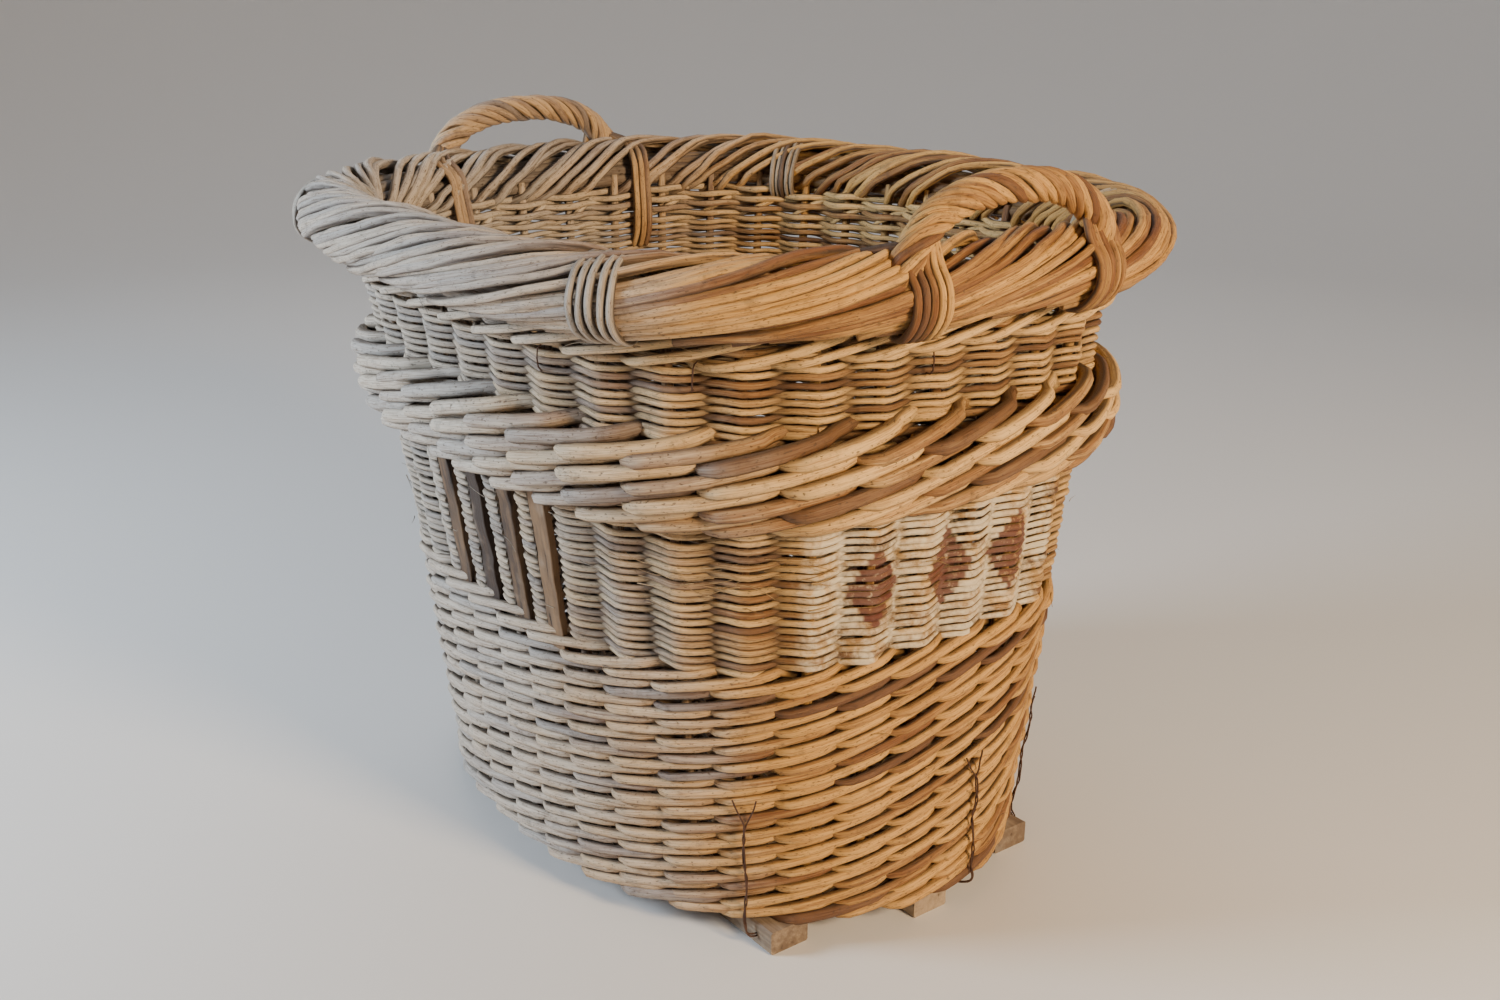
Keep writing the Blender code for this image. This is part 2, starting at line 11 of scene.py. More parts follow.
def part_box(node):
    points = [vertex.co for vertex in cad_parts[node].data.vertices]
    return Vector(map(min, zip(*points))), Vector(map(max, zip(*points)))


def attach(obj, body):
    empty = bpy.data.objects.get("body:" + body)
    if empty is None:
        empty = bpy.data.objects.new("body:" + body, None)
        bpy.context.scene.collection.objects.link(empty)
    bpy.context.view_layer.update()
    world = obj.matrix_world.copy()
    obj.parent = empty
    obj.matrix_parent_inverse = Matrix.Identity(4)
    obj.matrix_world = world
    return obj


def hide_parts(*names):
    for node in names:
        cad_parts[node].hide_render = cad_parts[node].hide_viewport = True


bl_info = {
    "name": "Wicker log basket",
    "version": (1, 0, 0),
    "blender": (4, 5, 0),
    "location": "View3D > Sidebar > Basket",
    "description": "Weaves a willow log basket over its frame, rod by rod",
    "category": "Object",
}

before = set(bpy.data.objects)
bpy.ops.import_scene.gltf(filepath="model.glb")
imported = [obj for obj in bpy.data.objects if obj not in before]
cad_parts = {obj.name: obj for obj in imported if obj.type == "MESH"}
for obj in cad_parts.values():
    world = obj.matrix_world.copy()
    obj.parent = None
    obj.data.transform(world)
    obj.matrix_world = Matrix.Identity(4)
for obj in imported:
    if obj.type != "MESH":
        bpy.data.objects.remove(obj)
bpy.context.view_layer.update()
NODES = sorted(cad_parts)


def half_sizes(node, inset):
    low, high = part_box(node)
    return np.array([0.5 * (high.x - low.x) - inset, 0.5 * (high.y - low.y) - inset])


# Heights and half sizes of the wall's middle surface, read from the bands of the frame
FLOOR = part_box("foot_weave")[0].z
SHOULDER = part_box("foot_weave")[1].z
BELT_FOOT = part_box("lower_randing")[1].z
BELT_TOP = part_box("belt_wale")[1].z
WALE_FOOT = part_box("upper_randing")[1].z
BORDER_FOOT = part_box("top_wale")[1].z
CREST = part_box("border")[1].z
MAT_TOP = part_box("base_mat")[1].z
STAKES = 2 * len([name for name in NODES if name.startswith("stake_pair")])
FOOT_HALF_WALL = 0.011
THIN_HALF_WALL = 0.010
MAT_PLAY = 0.001
FLOOR_HALF = half_sizes("base_mat", -FOOT_HALF_WALL - MAT_PLAY)
RIM_HALF = half_sizes("upper_randing", THIN_HALF_WALL)
BELT_HALF = half_sizes("lower_randing", THIN_HALF_WALL)
FLARE = (RIM_HALF - BELT_HALF) / (WALE_FOOT - BELT_FOOT)
SHOULDER_HALF = BELT_HALF - FLARE * (BELT_FOOT - SHOULDER)
FLOOR_SQUARENESS = 2.13
RIM_SQUARENESS = 2.93
SLOT_WIDTH = 0.036
LATH_SHIFT = 0.005
LATH_SEAT = 0.018
LATH_WIDTH = 0.022
LATH_DEPTH = 0.0075
TIE_HOLE_INSET = 0.022
WIRE_RADIUS = 0.00085
WIRE_TWIST = 26.0
WIRE_TAIL = 0.86
WIRE_GAP = 0.0035
WIRE_STAND_OFF = 0.014
WIRE_PROUD = 0.0142
STAPLE_RADIUS = 0.0007
OUTLINE_POINTS = 1440
STEPS = 6
FOLD_STEPS = 8
MAT_INSET = 0.006
MAT_STICKS = 9
MAT_STICK = 0.0042
MAT_ROD = 0.0033
MAT_PITCH = 0.0068
UP = np.array([0.0, 0.0, 1.0])


class Outline:
    """Plan outline of the wall at one height, read by its share of the way round from +X towards +Y."""

    def __init__(self, half, squareness):
        angle = np.linspace(0.0, math.tau, OUTLINE_POINTS + 1)
        power = 2.0 / squareness
        c, s = np.cos(angle), np.sin(angle)
        self.x = half[0] * np.sign(c) * np.abs(c) ** power
        self.y = half[1] * np.sign(s) * np.abs(s) ** power
        reach = np.concatenate([[0.0], np.cumsum(np.hypot(np.diff(self.x), np.diff(self.y)))])
        self.perimeter = reach[-1]
        self.share = reach / reach[-1]

    def at(self, share):
        turn = np.mod(share, 1.0)
        return np.stack([np.interp(turn, self.share, self.x), np.interp(turn, self.share, self.y)], axis=-1)


FLOOR_OUTLINE = Outline(FLOOR_HALF, FLOOR_SQUARENESS)
SHOULDER_OUTLINE = Outline(SHOULDER_HALF, RIM_SQUARENESS)
RIM_OUTLINE = Outline(RIM_HALF, RIM_SQUARENESS)
PERIMETER = SHOULDER_OUTLINE.perimeter


def wall_middle(share, height):
    share, height = np.broadcast_arrays(np.asarray(share, float), np.asarray(height, float))
    low = np.clip((height - FLOOR) / (SHOULDER - FLOOR), -0.2, 1.0)[..., None]
    high = ((height - SHOULDER) / (WALE_FOOT - SHOULDER))[..., None]
    shoulder = SHOULDER_OUTLINE.at(share)
    plan = np.where(height[..., None] < SHOULDER,
                    FLOOR_OUTLINE.at(share) * (1.0 - low) + shoulder * low,
                    shoulder * (1.0 - high) + RIM_OUTLINE.at(share) * high)
    return np.concatenate([plan, height[..., None]], axis=-1)


def wall_outward(share, height):
    """Level unit vectors out of the wall, eased a little along it so that tight corners stay smooth."""
    reach = 0.25 / STAKES
    along = wall_middle(share + reach, height) - wall_middle(share - reach, height)
    outward = np.stack([along[..., 1], -along[..., 0], np.zeros(along.shape[:-1])], axis=-1)
    return outward / np.linalg.norm(outward, axis=-1, keepdims=True)


def wall_points(stake, height, proud):
    """Points of the wall: a place counted in stakes, a height, and a distance outside its middle."""
    share = np.asarray(stake, float) / STAKES
    return wall_middle(share, height) + wall_outward(share, height) * np.asarray(proud, float)[..., None]


def in_stakes(length):
    """A length along the wall, counted in stakes."""
    return length / PERIMETER * STAKES


def smooth_step(value):
    value = np.clip(value, 0.0, 1.0)
    return value * value * (3.0 - 2.0 * value)


class Rods:
    """Rods of one piece, as centre lines with a thickness and what the material reads on each point."""

    def __init__(self, seed):
        self.random = np.random.default_rng(seed)
        self.points, self.edges, self.count = [], [], 0
        self.values = {"thickness": [], "tone": [], "tuck_shade": [], "along_wall": [], "up_wall": []}
        self.outward = []

    def wander(self, length, size, waves=5):
        """A slow random wave for the unevenness of handwork."""
        turn = np.linspace(0.0, 1.0, length)
        wave = np.zeros(length)
        for _ in range(waves):
            swing = self.random.normal()
            wave += swing * np.sin(math.tau * (self.random.uniform(1, 9) * turn + self.random.uniform()))
        return wave * size / math.sqrt(waves)

    def add(self, points, radius, tuck_shade=0.0, taper=0.0, stake=None, outward=None, closed=False):
        """Adds a rod; taper is the share of its thickness lost from butt to tip, outward the side it faces
        out, from which its painted shade is measured, and its tuck value paints shade where it passes behind
        or under others.
        """
        points = np.asarray(points, float)
        size = len(points)
        if outward is None:
            outward = wall_outward(np.asarray(stake) / STAKES, points[:, 2])
        self.outward.append(np.broadcast_to(outward, (size, 3)).astype(float))
        thickness = np.broadcast_to(radius, (size,)) * (1.0 - taper * np.linspace(0.0, 1.0, size))
        self.points.append(points)
        index = np.arange(self.count, self.count + size)
        edges = np.stack([index[:-1], index[1:]], axis=1)
        if closed:
            edges = np.concatenate([edges, [[index[-1], index[0]]]])
        self.edges.append(edges)
        self.values["thickness"].append(thickness)
        self.values["tone"].append(np.full(size, self.random.uniform()))
        self.values["tuck_shade"].append(np.broadcast_to(tuck_shade, (size,)).astype(float))
        half = 0.5 * STAKES
        around = np.zeros(size) if stake is None else (np.asarray(stake) + half) % STAKES - half
        self.values["along_wall"].append(around * PERIMETER / STAKES)
        self.values["up_wall"].append(points[:, 2])
        self.count += size

    def mesh(self, name):
        mesh = bpy.data.meshes.new(name)
        points = np.concatenate(self.points)
        edges = np.concatenate(self.edges)
        mesh.vertices.add(len(points))
        mesh.vertices.foreach_set("co", points.astype(np.float32).ravel())
        mesh.edges.add(len(edges))
        mesh.edges.foreach_set("vertices", edges.astype(np.int32).ravel())
        for key, parts in self.values.items():
            layer = mesh.attributes.new(key, "FLOAT", "POINT")
            layer.data.foreach_set("value", np.concatenate(parts).astype(np.float32))
        layer = mesh.attributes.new("outward", "FLOAT_VECTOR", "POINT")
        layer.data.foreach_set("vector", np.concatenate(self.outward).astype(np.float32).ravel())
        mesh.update()
        return mesh


# Node trees ----------------------------------------------------------------------------------------

class Graph:
    """A node tree with short ways of adding to it; an input is a value or the socket that feeds it."""

    def __init__(self, tree):
        self.tree = tree

    def node(self, kind, inputs=(), **settings):
        node = self.tree.nodes.new(kind)
        for key, value in settings.items():
            setattr(node, key, value)
        self.feed(node, dict(inputs))
        return node

    def feed(self, node, inputs):
        for key, value in inputs.items():
            if isinstance(value, bpy.types.NodeSocket):
                self.tree.links.new(value, node.inputs[key])
            else:
                node.inputs[key].default_value = value

    def sockets(self, direction, kind, names):
        for name, value in names.items():
            socket = self.tree.interface.new_socket(name, in_out=direction, socket_type="NodeSocket" + kind)
            if value is not None:
                socket.default_value = value

    def math(self, operation, *values, clamp=False):
        """Applies an operation from left to right."""
        result = values[0]
        for value in values[1:]:
            node = self.node("ShaderNodeMath", {0: result, 1: value}, operation=operation, use_clamp=clamp)
            result = node.outputs[0]
        return result

    def plus(self, *values):
        return self.math("ADD", *values)

    def minus(self, *values):
        return self.math("SUBTRACT", *values)

    def times(self, *values):
        return self.math("MULTIPLY", *values)

    def size(self, value):
        return self.node("ShaderNodeMath", {0: value}, operation="ABSOLUTE").outputs[0]

    def vector(self, operation, **inputs):
        """Vector maths on the inputs first, second and scale."""
        keys = {"first": 0, "second": 1, "scale": "Scale"}
        return self.node("ShaderNodeVectorMath", {keys[key]: value for key, value in inputs.items()},
                         operation=operation).outputs

    def spread(self, value, low, high):
        """Value mapped from low..high to 0..1, kept between them."""
        return self.node("ShaderNodeMapRange", {"From Min": low, "From Max": high, "Value": value},
                         interpolation_type="SMOOTHSTEP").outputs["Result"]

    def noise(self, vector, scale=1.0, detail=4.0, roughness=0.55):
        inputs = {"Scale": scale, "Detail": detail, "Roughness": roughness, "Vector": vector}
        return self.node("ShaderNodeTexNoise", inputs).outputs["Fac"]

    def mix(self, factor, first, second, blend="MIX"):
        inputs = {"Factor": factor, 6: first, 7: second}
        opaque = {key: (*value, 1.0) if isinstance(value, tuple) else value for key, value in inputs.items()}
        return self.node("ShaderNodeMix", opaque, data_type="RGBA", blend_type=blend).outputs[2]

    def attribute(self, name, output="Fac"):
        return self.node("ShaderNodeAttribute", attribute_name=name).outputs[output]

    def stretched(self, vector, scale, shift=None):
        scaled = self.vector("MULTIPLY", first=vector, second=scale)[0]
        return scaled if shift is None else self.vector("ADD", first=scaled, second=shift)[0]

    def place(self, output="Object"):
        return self.node("ShaderNodeTexCoord").outputs[output]

    def axes(self, vector):
        return self.node("ShaderNodeSeparateXYZ", {0: vector}).outputs

    def read(self, kind, name):
        """Named attribute of a geometry."""
        node = self.node("GeometryNodeInputNamedAttribute", {"Name": name}, data_type=kind)
        return node.outputs["Attribute"]

    def store(self, geometry, kind, name, value):
        inputs = {"Geometry": geometry, "Name": name, "Value": value}
        return self.node("GeometryNodeStoreNamedAttribute", inputs, data_type=kind,
                         domain="POINT").outputs["Geometry"]

    def capture(self, geometry, kind, name, value):
        node = self.node("GeometryNodeCaptureAttribute", domain="POINT")
        node.capture_items.new(kind, name)
        self.feed(node, {"Geometry": geometry, name: value})
        return node.outputs


def rod_tree():
    """Node tree that turns centre lines into willow rods with uneven bark, grain and blunt ends."""
    found = bpy.data.node_groups.get("Willow rods")
    if found:
        return found
    g = Graph(bpy.data.node_groups.new("Willow rods", "GeometryNodeTree"))
    g.sockets("INPUT", "Geometry", {"Geometry": None})
    g.sockets("INPUT", "Int", {"Sides": 8})
    g.sockets("INPUT", "Float", {"Lumps": 0.10, "Wobble": 0.001, "Seed": 1.0})
    g.sockets("INPUT", "Material", {"Finish": None})
    g.sockets("OUTPUT", "Geometry", {"Geometry": None})
    entry = g.node("NodeGroupInput").outputs
    lines = g.node("GeometryNodeMeshToCurve", {"Mesh": entry["Geometry"]}).outputs["Curve"]

    # Each rod wobbles in its own way, and its bark is uneven
    place = g.node("GeometryNodeInputPosition").outputs[0]
    depth = g.plus(g.times(g.read("FLOAT", "tone"), 60.0), entry["Seed"])
    wave = g.node("ShaderNodeTexNoise", {"Scale": 9.0, "Detail": 1.0, "Vector": place, "W": depth},
                  noise_dimensions="4D")
    centred = g.vector("SUBTRACT", first=wave.outputs["Color"], second=(0.5, 0.5, 0.5))[0]
    swing = g.vector("SCALE", first=centred, scale=g.times(entry["Wobble"], 4.0))[0]
    moved = g.node("GeometryNodeSetPosition", {"Geometry": lines, "Offset": swing}).outputs["Geometry"]
    bark = g.node("ShaderNodeTexNoise", {"Scale": 45.0, "Detail": 2.0, "Vector": place, "W": depth},
                  noise_dimensions="4D").outputs["Fac"]
    factor = g.plus(g.times(g.minus(bark, 0.5), 2.0, entry["Lumps"]), 1.0)
    radius = g.times(g.read("FLOAT", "thickness"), factor)

    length = g.node("GeometryNodeSplineParameter").outputs["Length"]
    reach = g.capture(moved, "FLOAT", "Length", length)
    circle = g.node("GeometryNodeCurvePrimitiveCircle", {"Radius": 1.0, "Resolution": entry["Sides"]},
                    mode="RADIUS")
    ring = g.capture(circle.outputs["Curve"], "VECTOR", "Round", place)
    sweep = g.node("GeometryNodeCurveToMesh", {"Fill Caps": True, "Curve": reach["Geometry"],
                                               "Profile Curve": ring["Geometry"], "Scale": radius})

    # What the bark reads: the place round and along the rod, painted shade where it is tucked, and painted
    # shade on its flanks
    split = g.axes(ring["Round"])
    grain = g.node("ShaderNodeCombineXYZ", {"X": split["X"], "Y": split["Y"], "Z": reach["Length"]})
    rods = g.store(sweep.outputs["Mesh"], "FLOAT_VECTOR", "grain", grain.outputs[0])
    normal = g.node("GeometryNodeInputNormal").outputs[0]
    facing = g.vector("DOT_PRODUCT", first=g.read("FLOAT_VECTOR", "outward"), second=normal)["Value"]
    # Painted shade on the tucked parts, on their faces turned outward
    rods = g.store(rods, "FLOAT", "tuck_shade", g.times(g.read("FLOAT", "tuck_shade"), g.spread(facing, -0.45, 0.25)))
    # Painted shade on the rod's flanks, where its surface turns away from the outside
    rods = g.store(rods, "FLOAT", "flank_shade", g.math("SUBTRACT", 1.0, g.size(facing), clamp=True))

    smooth = g.node("GeometryNodeSetShadeSmooth", {"Geometry": rods}, domain="FACE")
    real = g.node("GeometryNodeRealizeInstances", {"Geometry": smooth.outputs["Geometry"]})
    finish = g.node("GeometryNodeSetMaterial", {"Geometry": real.outputs["Geometry"],
                                                "Material": entry["Finish"]})
    g.node("NodeGroupOutput", {"Geometry": finish.outputs["Geometry"]})
    return g.tree


def make_piece(name, rods, material, nodes, sides=8, lumps=0.10, wobble=0.001):
    """Sweeps a piece's rods, keeps the result as a plain mesh and lets it stand for its frame nodes."""
    guide = bpy.data.objects.new(name + "_lines", rods.mesh(name + "_lines"))
    bpy.context.scene.collection.objects.link(guide)
    modifier = guide.modifiers.new("rods", "NODES")
    modifier.node_group = rod_tree()
    sockets = {item.name: item.identifier for item in modifier.node_group.interface.items_tree
               if item.in_out == "INPUT"}
    modifier[sockets["Sides"]] = sides
    modifier[sockets["Lumps"]] = lumps
    modifier[sockets["Wobble"]] = wobble
    modifier[sockets["Seed"]] = float(len(name))
    modifier[sockets["Finish"]] = material
    bpy.context.view_layer.update()
    evaluated = guide.evaluated_get(bpy.context.evaluated_depsgraph_get())
    mesh = bpy.data.meshes.new_from_object(evaluated)
    mesh.name = name
    bpy.data.objects.remove(guide)
    return keep_piece(name, mesh, nodes)


def keep_piece(name, mesh, nodes):
    piece = bpy.data.objects.new(name, mesh)
    bpy.context.scene.collection.objects.link(piece)
    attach(piece, "root")
    if nodes:
        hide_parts(*nodes)
    return piece


# Materials -----------------------------------------------------------------------------------------

# Dark colour for the painted shade in tucks and on rod flanks, and for real grime
DEEP_SHADE_AND_GRIME = (0.040, 0.021, 0.010)


def willow_group():
    """Bark of a dry willow rod: streaks along it, a tone for each rod, specks, greying that is partly
    weathering and partly painted cool light, grime, and painted shade in tucks and on flanks.
    """
    found = bpy.data.node_groups.get("Willow bark")
    if found:
        return found
    g = Graph(bpy.data.node_groups.new("Willow bark", "ShaderNodeTree"))
    g.sockets("INPUT", "Color", {"Light": (0.80, 0.62, 0.38, 1.0), "Dark": (0.40, 0.22, 0.09, 1.0),
                                 "Weathered and lit": (0.62, 0.60, 0.55, 1.0)})
    g.sockets("INPUT", "Float", {"Weathering and light": 0.5, "Shade and dirt": 0.5})
    g.sockets("OUTPUT", "Color", {"Color": None})
    g.sockets("OUTPUT", "Float", {"Roughness": None, "Height": None})
    entry = g.node("NodeGroupInput").outputs
    grain = g.attribute("grain", "Vector")
    tone = g.attribute("tone")
    own = g.node("ShaderNodeCombineXYZ", {"X": g.times(tone, 71.0), "Z": g.times(tone, 37.0)}).outputs[0]
    streak = g.noise(g.stretched(grain, (1.6, 1.6, 11.0), own), 1.0, 5.0, 0.62)
    fibre = g.noise(g.stretched(grain, (7.0, 7.0, 36.0), own), 1.0, 4.0, 0.6)
    speck = g.noise(g.stretched(grain, (3.5, 3.5, 260.0), own), 1.0, 2.0, 0.5)
    place = g.place()
    patch = g.noise(place, 7.0, 4.0, 0.6)

    shade = g.plus(g.times(streak, 0.9), g.times(tone, 0.75), g.times(patch, 0.5))
    body = g.mix(g.spread(shade, 0.66, 1.28), entry["Dark"], entry["Light"])
    body = g.mix(g.times(g.spread(tone, 0.075, 0.055), 0.6), body, (0.13, 0.065, 0.032))

    # The -X -Y side is paler and greyer, partly from weathering and partly as painted cool light from the
    # left
    axes = g.axes(place)
    weathered_and_lit_side = g.times(g.plus(g.times(axes["X"], 0.75), axes["Y"]), -2.4)
    grey = g.plus(weathered_and_lit_side, g.times(patch, 1.1), g.times(streak, 0.5))
    body = g.mix(g.times(g.spread(grey, 0.55, 1.60), entry["Weathering and light"]), body, entry["Weathered and lit"])

    body = g.mix(g.times(g.spread(fibre, 0.44, 0.68), 0.60), body, (0.34, 0.20, 0.11), "MULTIPLY")
    marks = g.times(g.spread(speck, 0.62, 0.69), 0.70)
    body = g.mix(marks, body, (0.10, 0.06, 0.035))
    # Painted shade where rods are tucked behind others and on each rod's flanks between rows, together with
    # real patches of grime, all in one dark colour
    flank_shade = g.plus(g.attribute("flank_shade"), g.times(g.minus(patch, 0.5), 0.5))
    grime = g.times(g.spread(g.noise(place, 60.0, 6.0, 0.72), 0.52, 0.70), 0.42)
    shade_and_grime = g.math("MAXIMUM", g.attribute("tuck_shade"), g.spread(flank_shade, 0.24, 0.88), grime)
    body = g.mix(g.math("MULTIPLY", shade_and_grime, entry["Shade and dirt"], clamp=True), body, DEEP_SHADE_AND_GRIME)
    height = g.minus(g.plus(g.times(fibre, 0.6), g.times(streak, 0.4)), g.times(marks, 0.5))
    g.node("NodeGroupOutput", {"Color": body, "Roughness": g.plus(g.times(fibre, 0.35), 0.42),
                               "Height": height})
    return g.tree


def paint_group():
    """Worn cream panel with three plain lozenges, on the wall's own coordinates."""
    found = bpy.data.node_groups.get("Worn paint")
    if found:
        return found
    g = Graph(bpy.data.node_groups.new("Worn paint", "ShaderNodeTree"))
    g.sockets("INPUT", "Color", {"Base": (0.5, 0.4, 0.3, 1.0), "Paint": (0.8, 0.72, 0.58, 1.0),
                                 "Mark": (0.35, 0.08, 0.04, 1.0)})
    g.sockets("INPUT", "Float", {"Left": -0.150, "Right": 0.135, "Spacing": 0.080, "Mark height": 0.35})
    g.sockets("OUTPUT", "Color", {"Color": None})
    entry = g.node("NodeGroupInput").outputs
    along, up = g.attribute("along_wall"), g.attribute("up_wall")
    place = g.place()
    patch = g.noise(place, 26.0, 5.0, 0.65)
    fine = g.noise(place, 120.0, 3.0, 0.6)
    front = g.spread(g.axes(g.place("Normal"))["X"], 0.05, 0.45)
    ragged = g.times(g.minus(patch, 0.5), 0.05)
    spot = g.plus(along, ragged)
    edge = g.math("MINIMUM", g.minus(spot, entry["Left"]), g.minus(entry["Right"], spot))
    worn = g.spread(g.plus(patch, g.times(fine, 0.5)), 0.92, 0.62)
    cover = g.times(g.spread(edge, -0.004, 0.010), worn, front)
    painted = g.mix(g.times(cover, 0.92), entry["Base"], entry["Paint"])
    near = g.plus(along, g.times(ragged, 0.16))
    above = g.size(g.minus(up, entry["Mark height"]))
    for step in (-1.0, 0.0, 1.0):
        across = g.size(g.minus(near, g.times(entry["Spacing"], step)))
        size = g.plus(g.times(across, 1.45), above)
        mark = g.times(g.spread(size, 0.042, 0.037), front, g.spread(fine, 0.74, 0.52), 0.9)
        painted = g.mix(mark, painted, entry["Mark"])
    g.node("NodeGroupOutput", {"Color": painted})
    return g.tree


def new_material(name):
    material = bpy.data.materials.new(name)
    material.use_nodes = True
    return material, Graph(material.node_tree), material.node_tree.nodes["Principled BSDF"]


def finish_shader(g, shader, colour, roughness, height, distance):
    """Feeds the shader its colour and roughness, and bumps it by a height."""
    normal = g.node("ShaderNodeBump", {"Strength": 1.0, "Distance": distance, "Height": height})
    g.feed(shader, {"Base Color": colour, "Roughness": roughness, "Normal": normal.outputs["Normal"]})


def willow_material(name, light, dark, weathering_and_light=0.74, shade_and_dirt=0.9, painted=False):
    """Willow between two tones of the scene's colours, its -X -Y side greyed by weathering and by painted
    cool light, with painted shade in tucks and on flanks.
    """
    found = bpy.data.materials.get(name)
    if found:
        return found
    colours = bpy.context.scene.basket_colours
    material, g, shader = new_material(name)
    bark = g.node("ShaderNodeGroup", node_tree=willow_group())
    g.feed(bark, {"Light": (*getattr(colours, light), 1.0), "Dark": (*getattr(colours, dark), 1.0),
                  "Weathered and lit": (*colours.weathered_and_lit, 1.0), "Weathering and light": weathering_and_light, "Shade and dirt": shade_and_dirt})
    colour = bark.outputs["Color"]
    if painted:
        paint = g.node("ShaderNodeGroup", node_tree=paint_group())
        g.feed(paint, {"Base": colour, "Paint": (*colours.paint, 1.0), "Mark": (*colours.mark, 1.0),
                       "Mark height": 0.5 * (SHOULDER + BELT_FOOT)})
        colour = paint.outputs["Color"]
    finish_shader(g, shader, colour, bark.outputs["Roughness"], bark.outputs["Height"], 0.0016)
    return material


def wood_material(name, light, dark, along, wear=0.4):
    """Split or sawn wood: grain along one axis of the object, cracks and dirt."""
    found = bpy.data.materials.get(name)
    if found:
        return found
    material, g, shader = new_material(name)
    place = g.place()
    stretch = tuple(6.0 if axis == along else 130.0 for axis in "XYZ")
    rings = g.noise(g.stretched(place, stretch), 1.0, 5.0, 0.65)
    patch = g.noise(place, 22.0, 4.0, 0.6)
    tone = g.times(g.minus(g.attribute("tone"), 0.5), 0.5)
    shade = g.plus(g.times(rings, 0.9), g.times(patch, 0.5), tone)
    cracks = g.spread(rings, 0.34, 0.28)
    body = g.mix(g.spread(shade, 0.45, 1.0), dark, light)
    body = g.mix(g.times(cracks, 0.8), body, (0.03, 0.02, 0.015))
    body = g.mix(g.times(g.spread(patch, 0.52, 0.75), wear), body, (0.42, 0.37, 0.31))
    finish_shader(g, shader, body, g.plus(g.times(rings, 0.3), 0.55), g.minus(rings, cracks), 0.0015)
    return material


def wire_material():
    found = bpy.data.materials.get("rusty_wire")
    if found:
        return found
    material, g, shader = new_material("rusty_wire")
    rust = g.noise(g.place(), 160.0, 4.0, 0.6)
    body = g.mix(g.spread(rust, 0.35, 0.65), (0.09, 0.075, 0.07), (0.20, 0.085, 0.04))
    shader.inputs["Metallic"].default_value = 0.45
    finish_shader(g, shader, body, g.plus(g.times(rust, 0.4), 0.4), rust, 0.0005)
    return material


# Settings ------------------------------------------------------------------------------------------

class BasketWeave(bpy.types.PropertyGroup):
    foot_courses: IntProperty(name="Foot courses", default=13, description="Courses of the heavy foot weave")
    foot_rod: FloatProperty(name="Foot rod", default=0.0047, unit="LENGTH",
                            description="Radius of the foot weave's rods")
    randing_pitch: FloatProperty(name="Randing pitch", default=0.0036, unit="LENGTH",
                                 description="Rise of one row of the fine weave")
    randing_rod: FloatProperty(name="Randing rod", default=0.0031, unit="LENGTH",
                               description="Radius of the fine weave's rods")
    belt_courses: IntProperty(name="Belt courses", default=4, description="Courses of the proud belt")
    belt_rod: FloatProperty(name="Belt rod", default=0.0065, unit="LENGTH",
                            description="Radius of the belt's rods")
    stake_rod: FloatProperty(name="Stake rod", default=0.0050, unit="LENGTH",
                             description="Radius of the upright stakes")
    border_group: IntProperty(name="Border group", default=3,
                              description="Rods bent over together at each stake")
    border_rod: FloatProperty(name="Border rod", default=0.0050, unit="LENGTH",
                              description="Radius of the border's rods")
    handle_rods: IntProperty(name="Handle rods", default=8, description="Rods twisted round each handle")
    handle_rod: FloatProperty(name="Handle rod", default=0.0045, unit="LENGTH",
                              description="Radius of a handle's rods")
    handle_turns: FloatProperty(name="Handle turns", default=3.2,
                                description="Turns of the twist along a handle")
    lashing_skeins: IntProperty(name="Lashing skeins", default=5,
                                description="Skeins side by side in a lashing")
    lashing_rod: FloatProperty(name="Lashing rod", default=0.0032, unit="LENGTH",
                               description="Radius of a skein")


class BasketColours(bpy.types.PropertyGroup):
    honey: FloatVectorProperty(name="Honey", description="Light tone of the golden willow", subtype="COLOR",
                               default=(0.69, 0.39, 0.115))
    umber: FloatVectorProperty(name="Umber", description="Dark tone of the golden willow", subtype="COLOR",
                               default=(0.21, 0.080, 0.020))
    straw: FloatVectorProperty(name="Straw", description="Light tone of the pale willow", subtype="COLOR",
                               default=(0.79, 0.51, 0.205))
    tan: FloatVectorProperty(name="Tan", description="Dark tone of the pale willow", subtype="COLOR",
                             default=(0.27, 0.120, 0.034))
    driftwood: FloatVectorProperty(name="Driftwood", description="Light tone of the old lashings",
                                   subtype="COLOR", default=(0.46, 0.36, 0.245))
    peat: FloatVectorProperty(name="Peat", description="Dark tone of the old lashings", subtype="COLOR",
                              default=(0.13, 0.085, 0.050))
    # Pale grey for the -X -Y side: partly weathered willow, partly painted cool light
    weathered_and_lit: FloatVectorProperty(name="Weathered and lit", description="Greyed willow", subtype="COLOR",
                                   default=(0.62, 0.605, 0.57))
    paint: FloatVectorProperty(name="Paint", description="Cream panel paint", subtype="COLOR",
                               default=(0.80, 0.69, 0.50))
    mark: FloatVectorProperty(name="Mark", description="Red-brown marks", subtype="COLOR",
                              default=(0.120, 0.024, 0.015))


# Weaves --------------------------------------------------------------------------------------------

# The weave is set back to the middle of its band, and its folds are nearly sharp
WALL_SETBACK = -0.005
FOLD_REACH = 0.0068
FOLD_SHARPNESS = 0.995
STAKE_HALF = 0.0050
# Share of a bay in which a thick strand turns from its front stroke to its back one
TURN_SHARE = 0.45


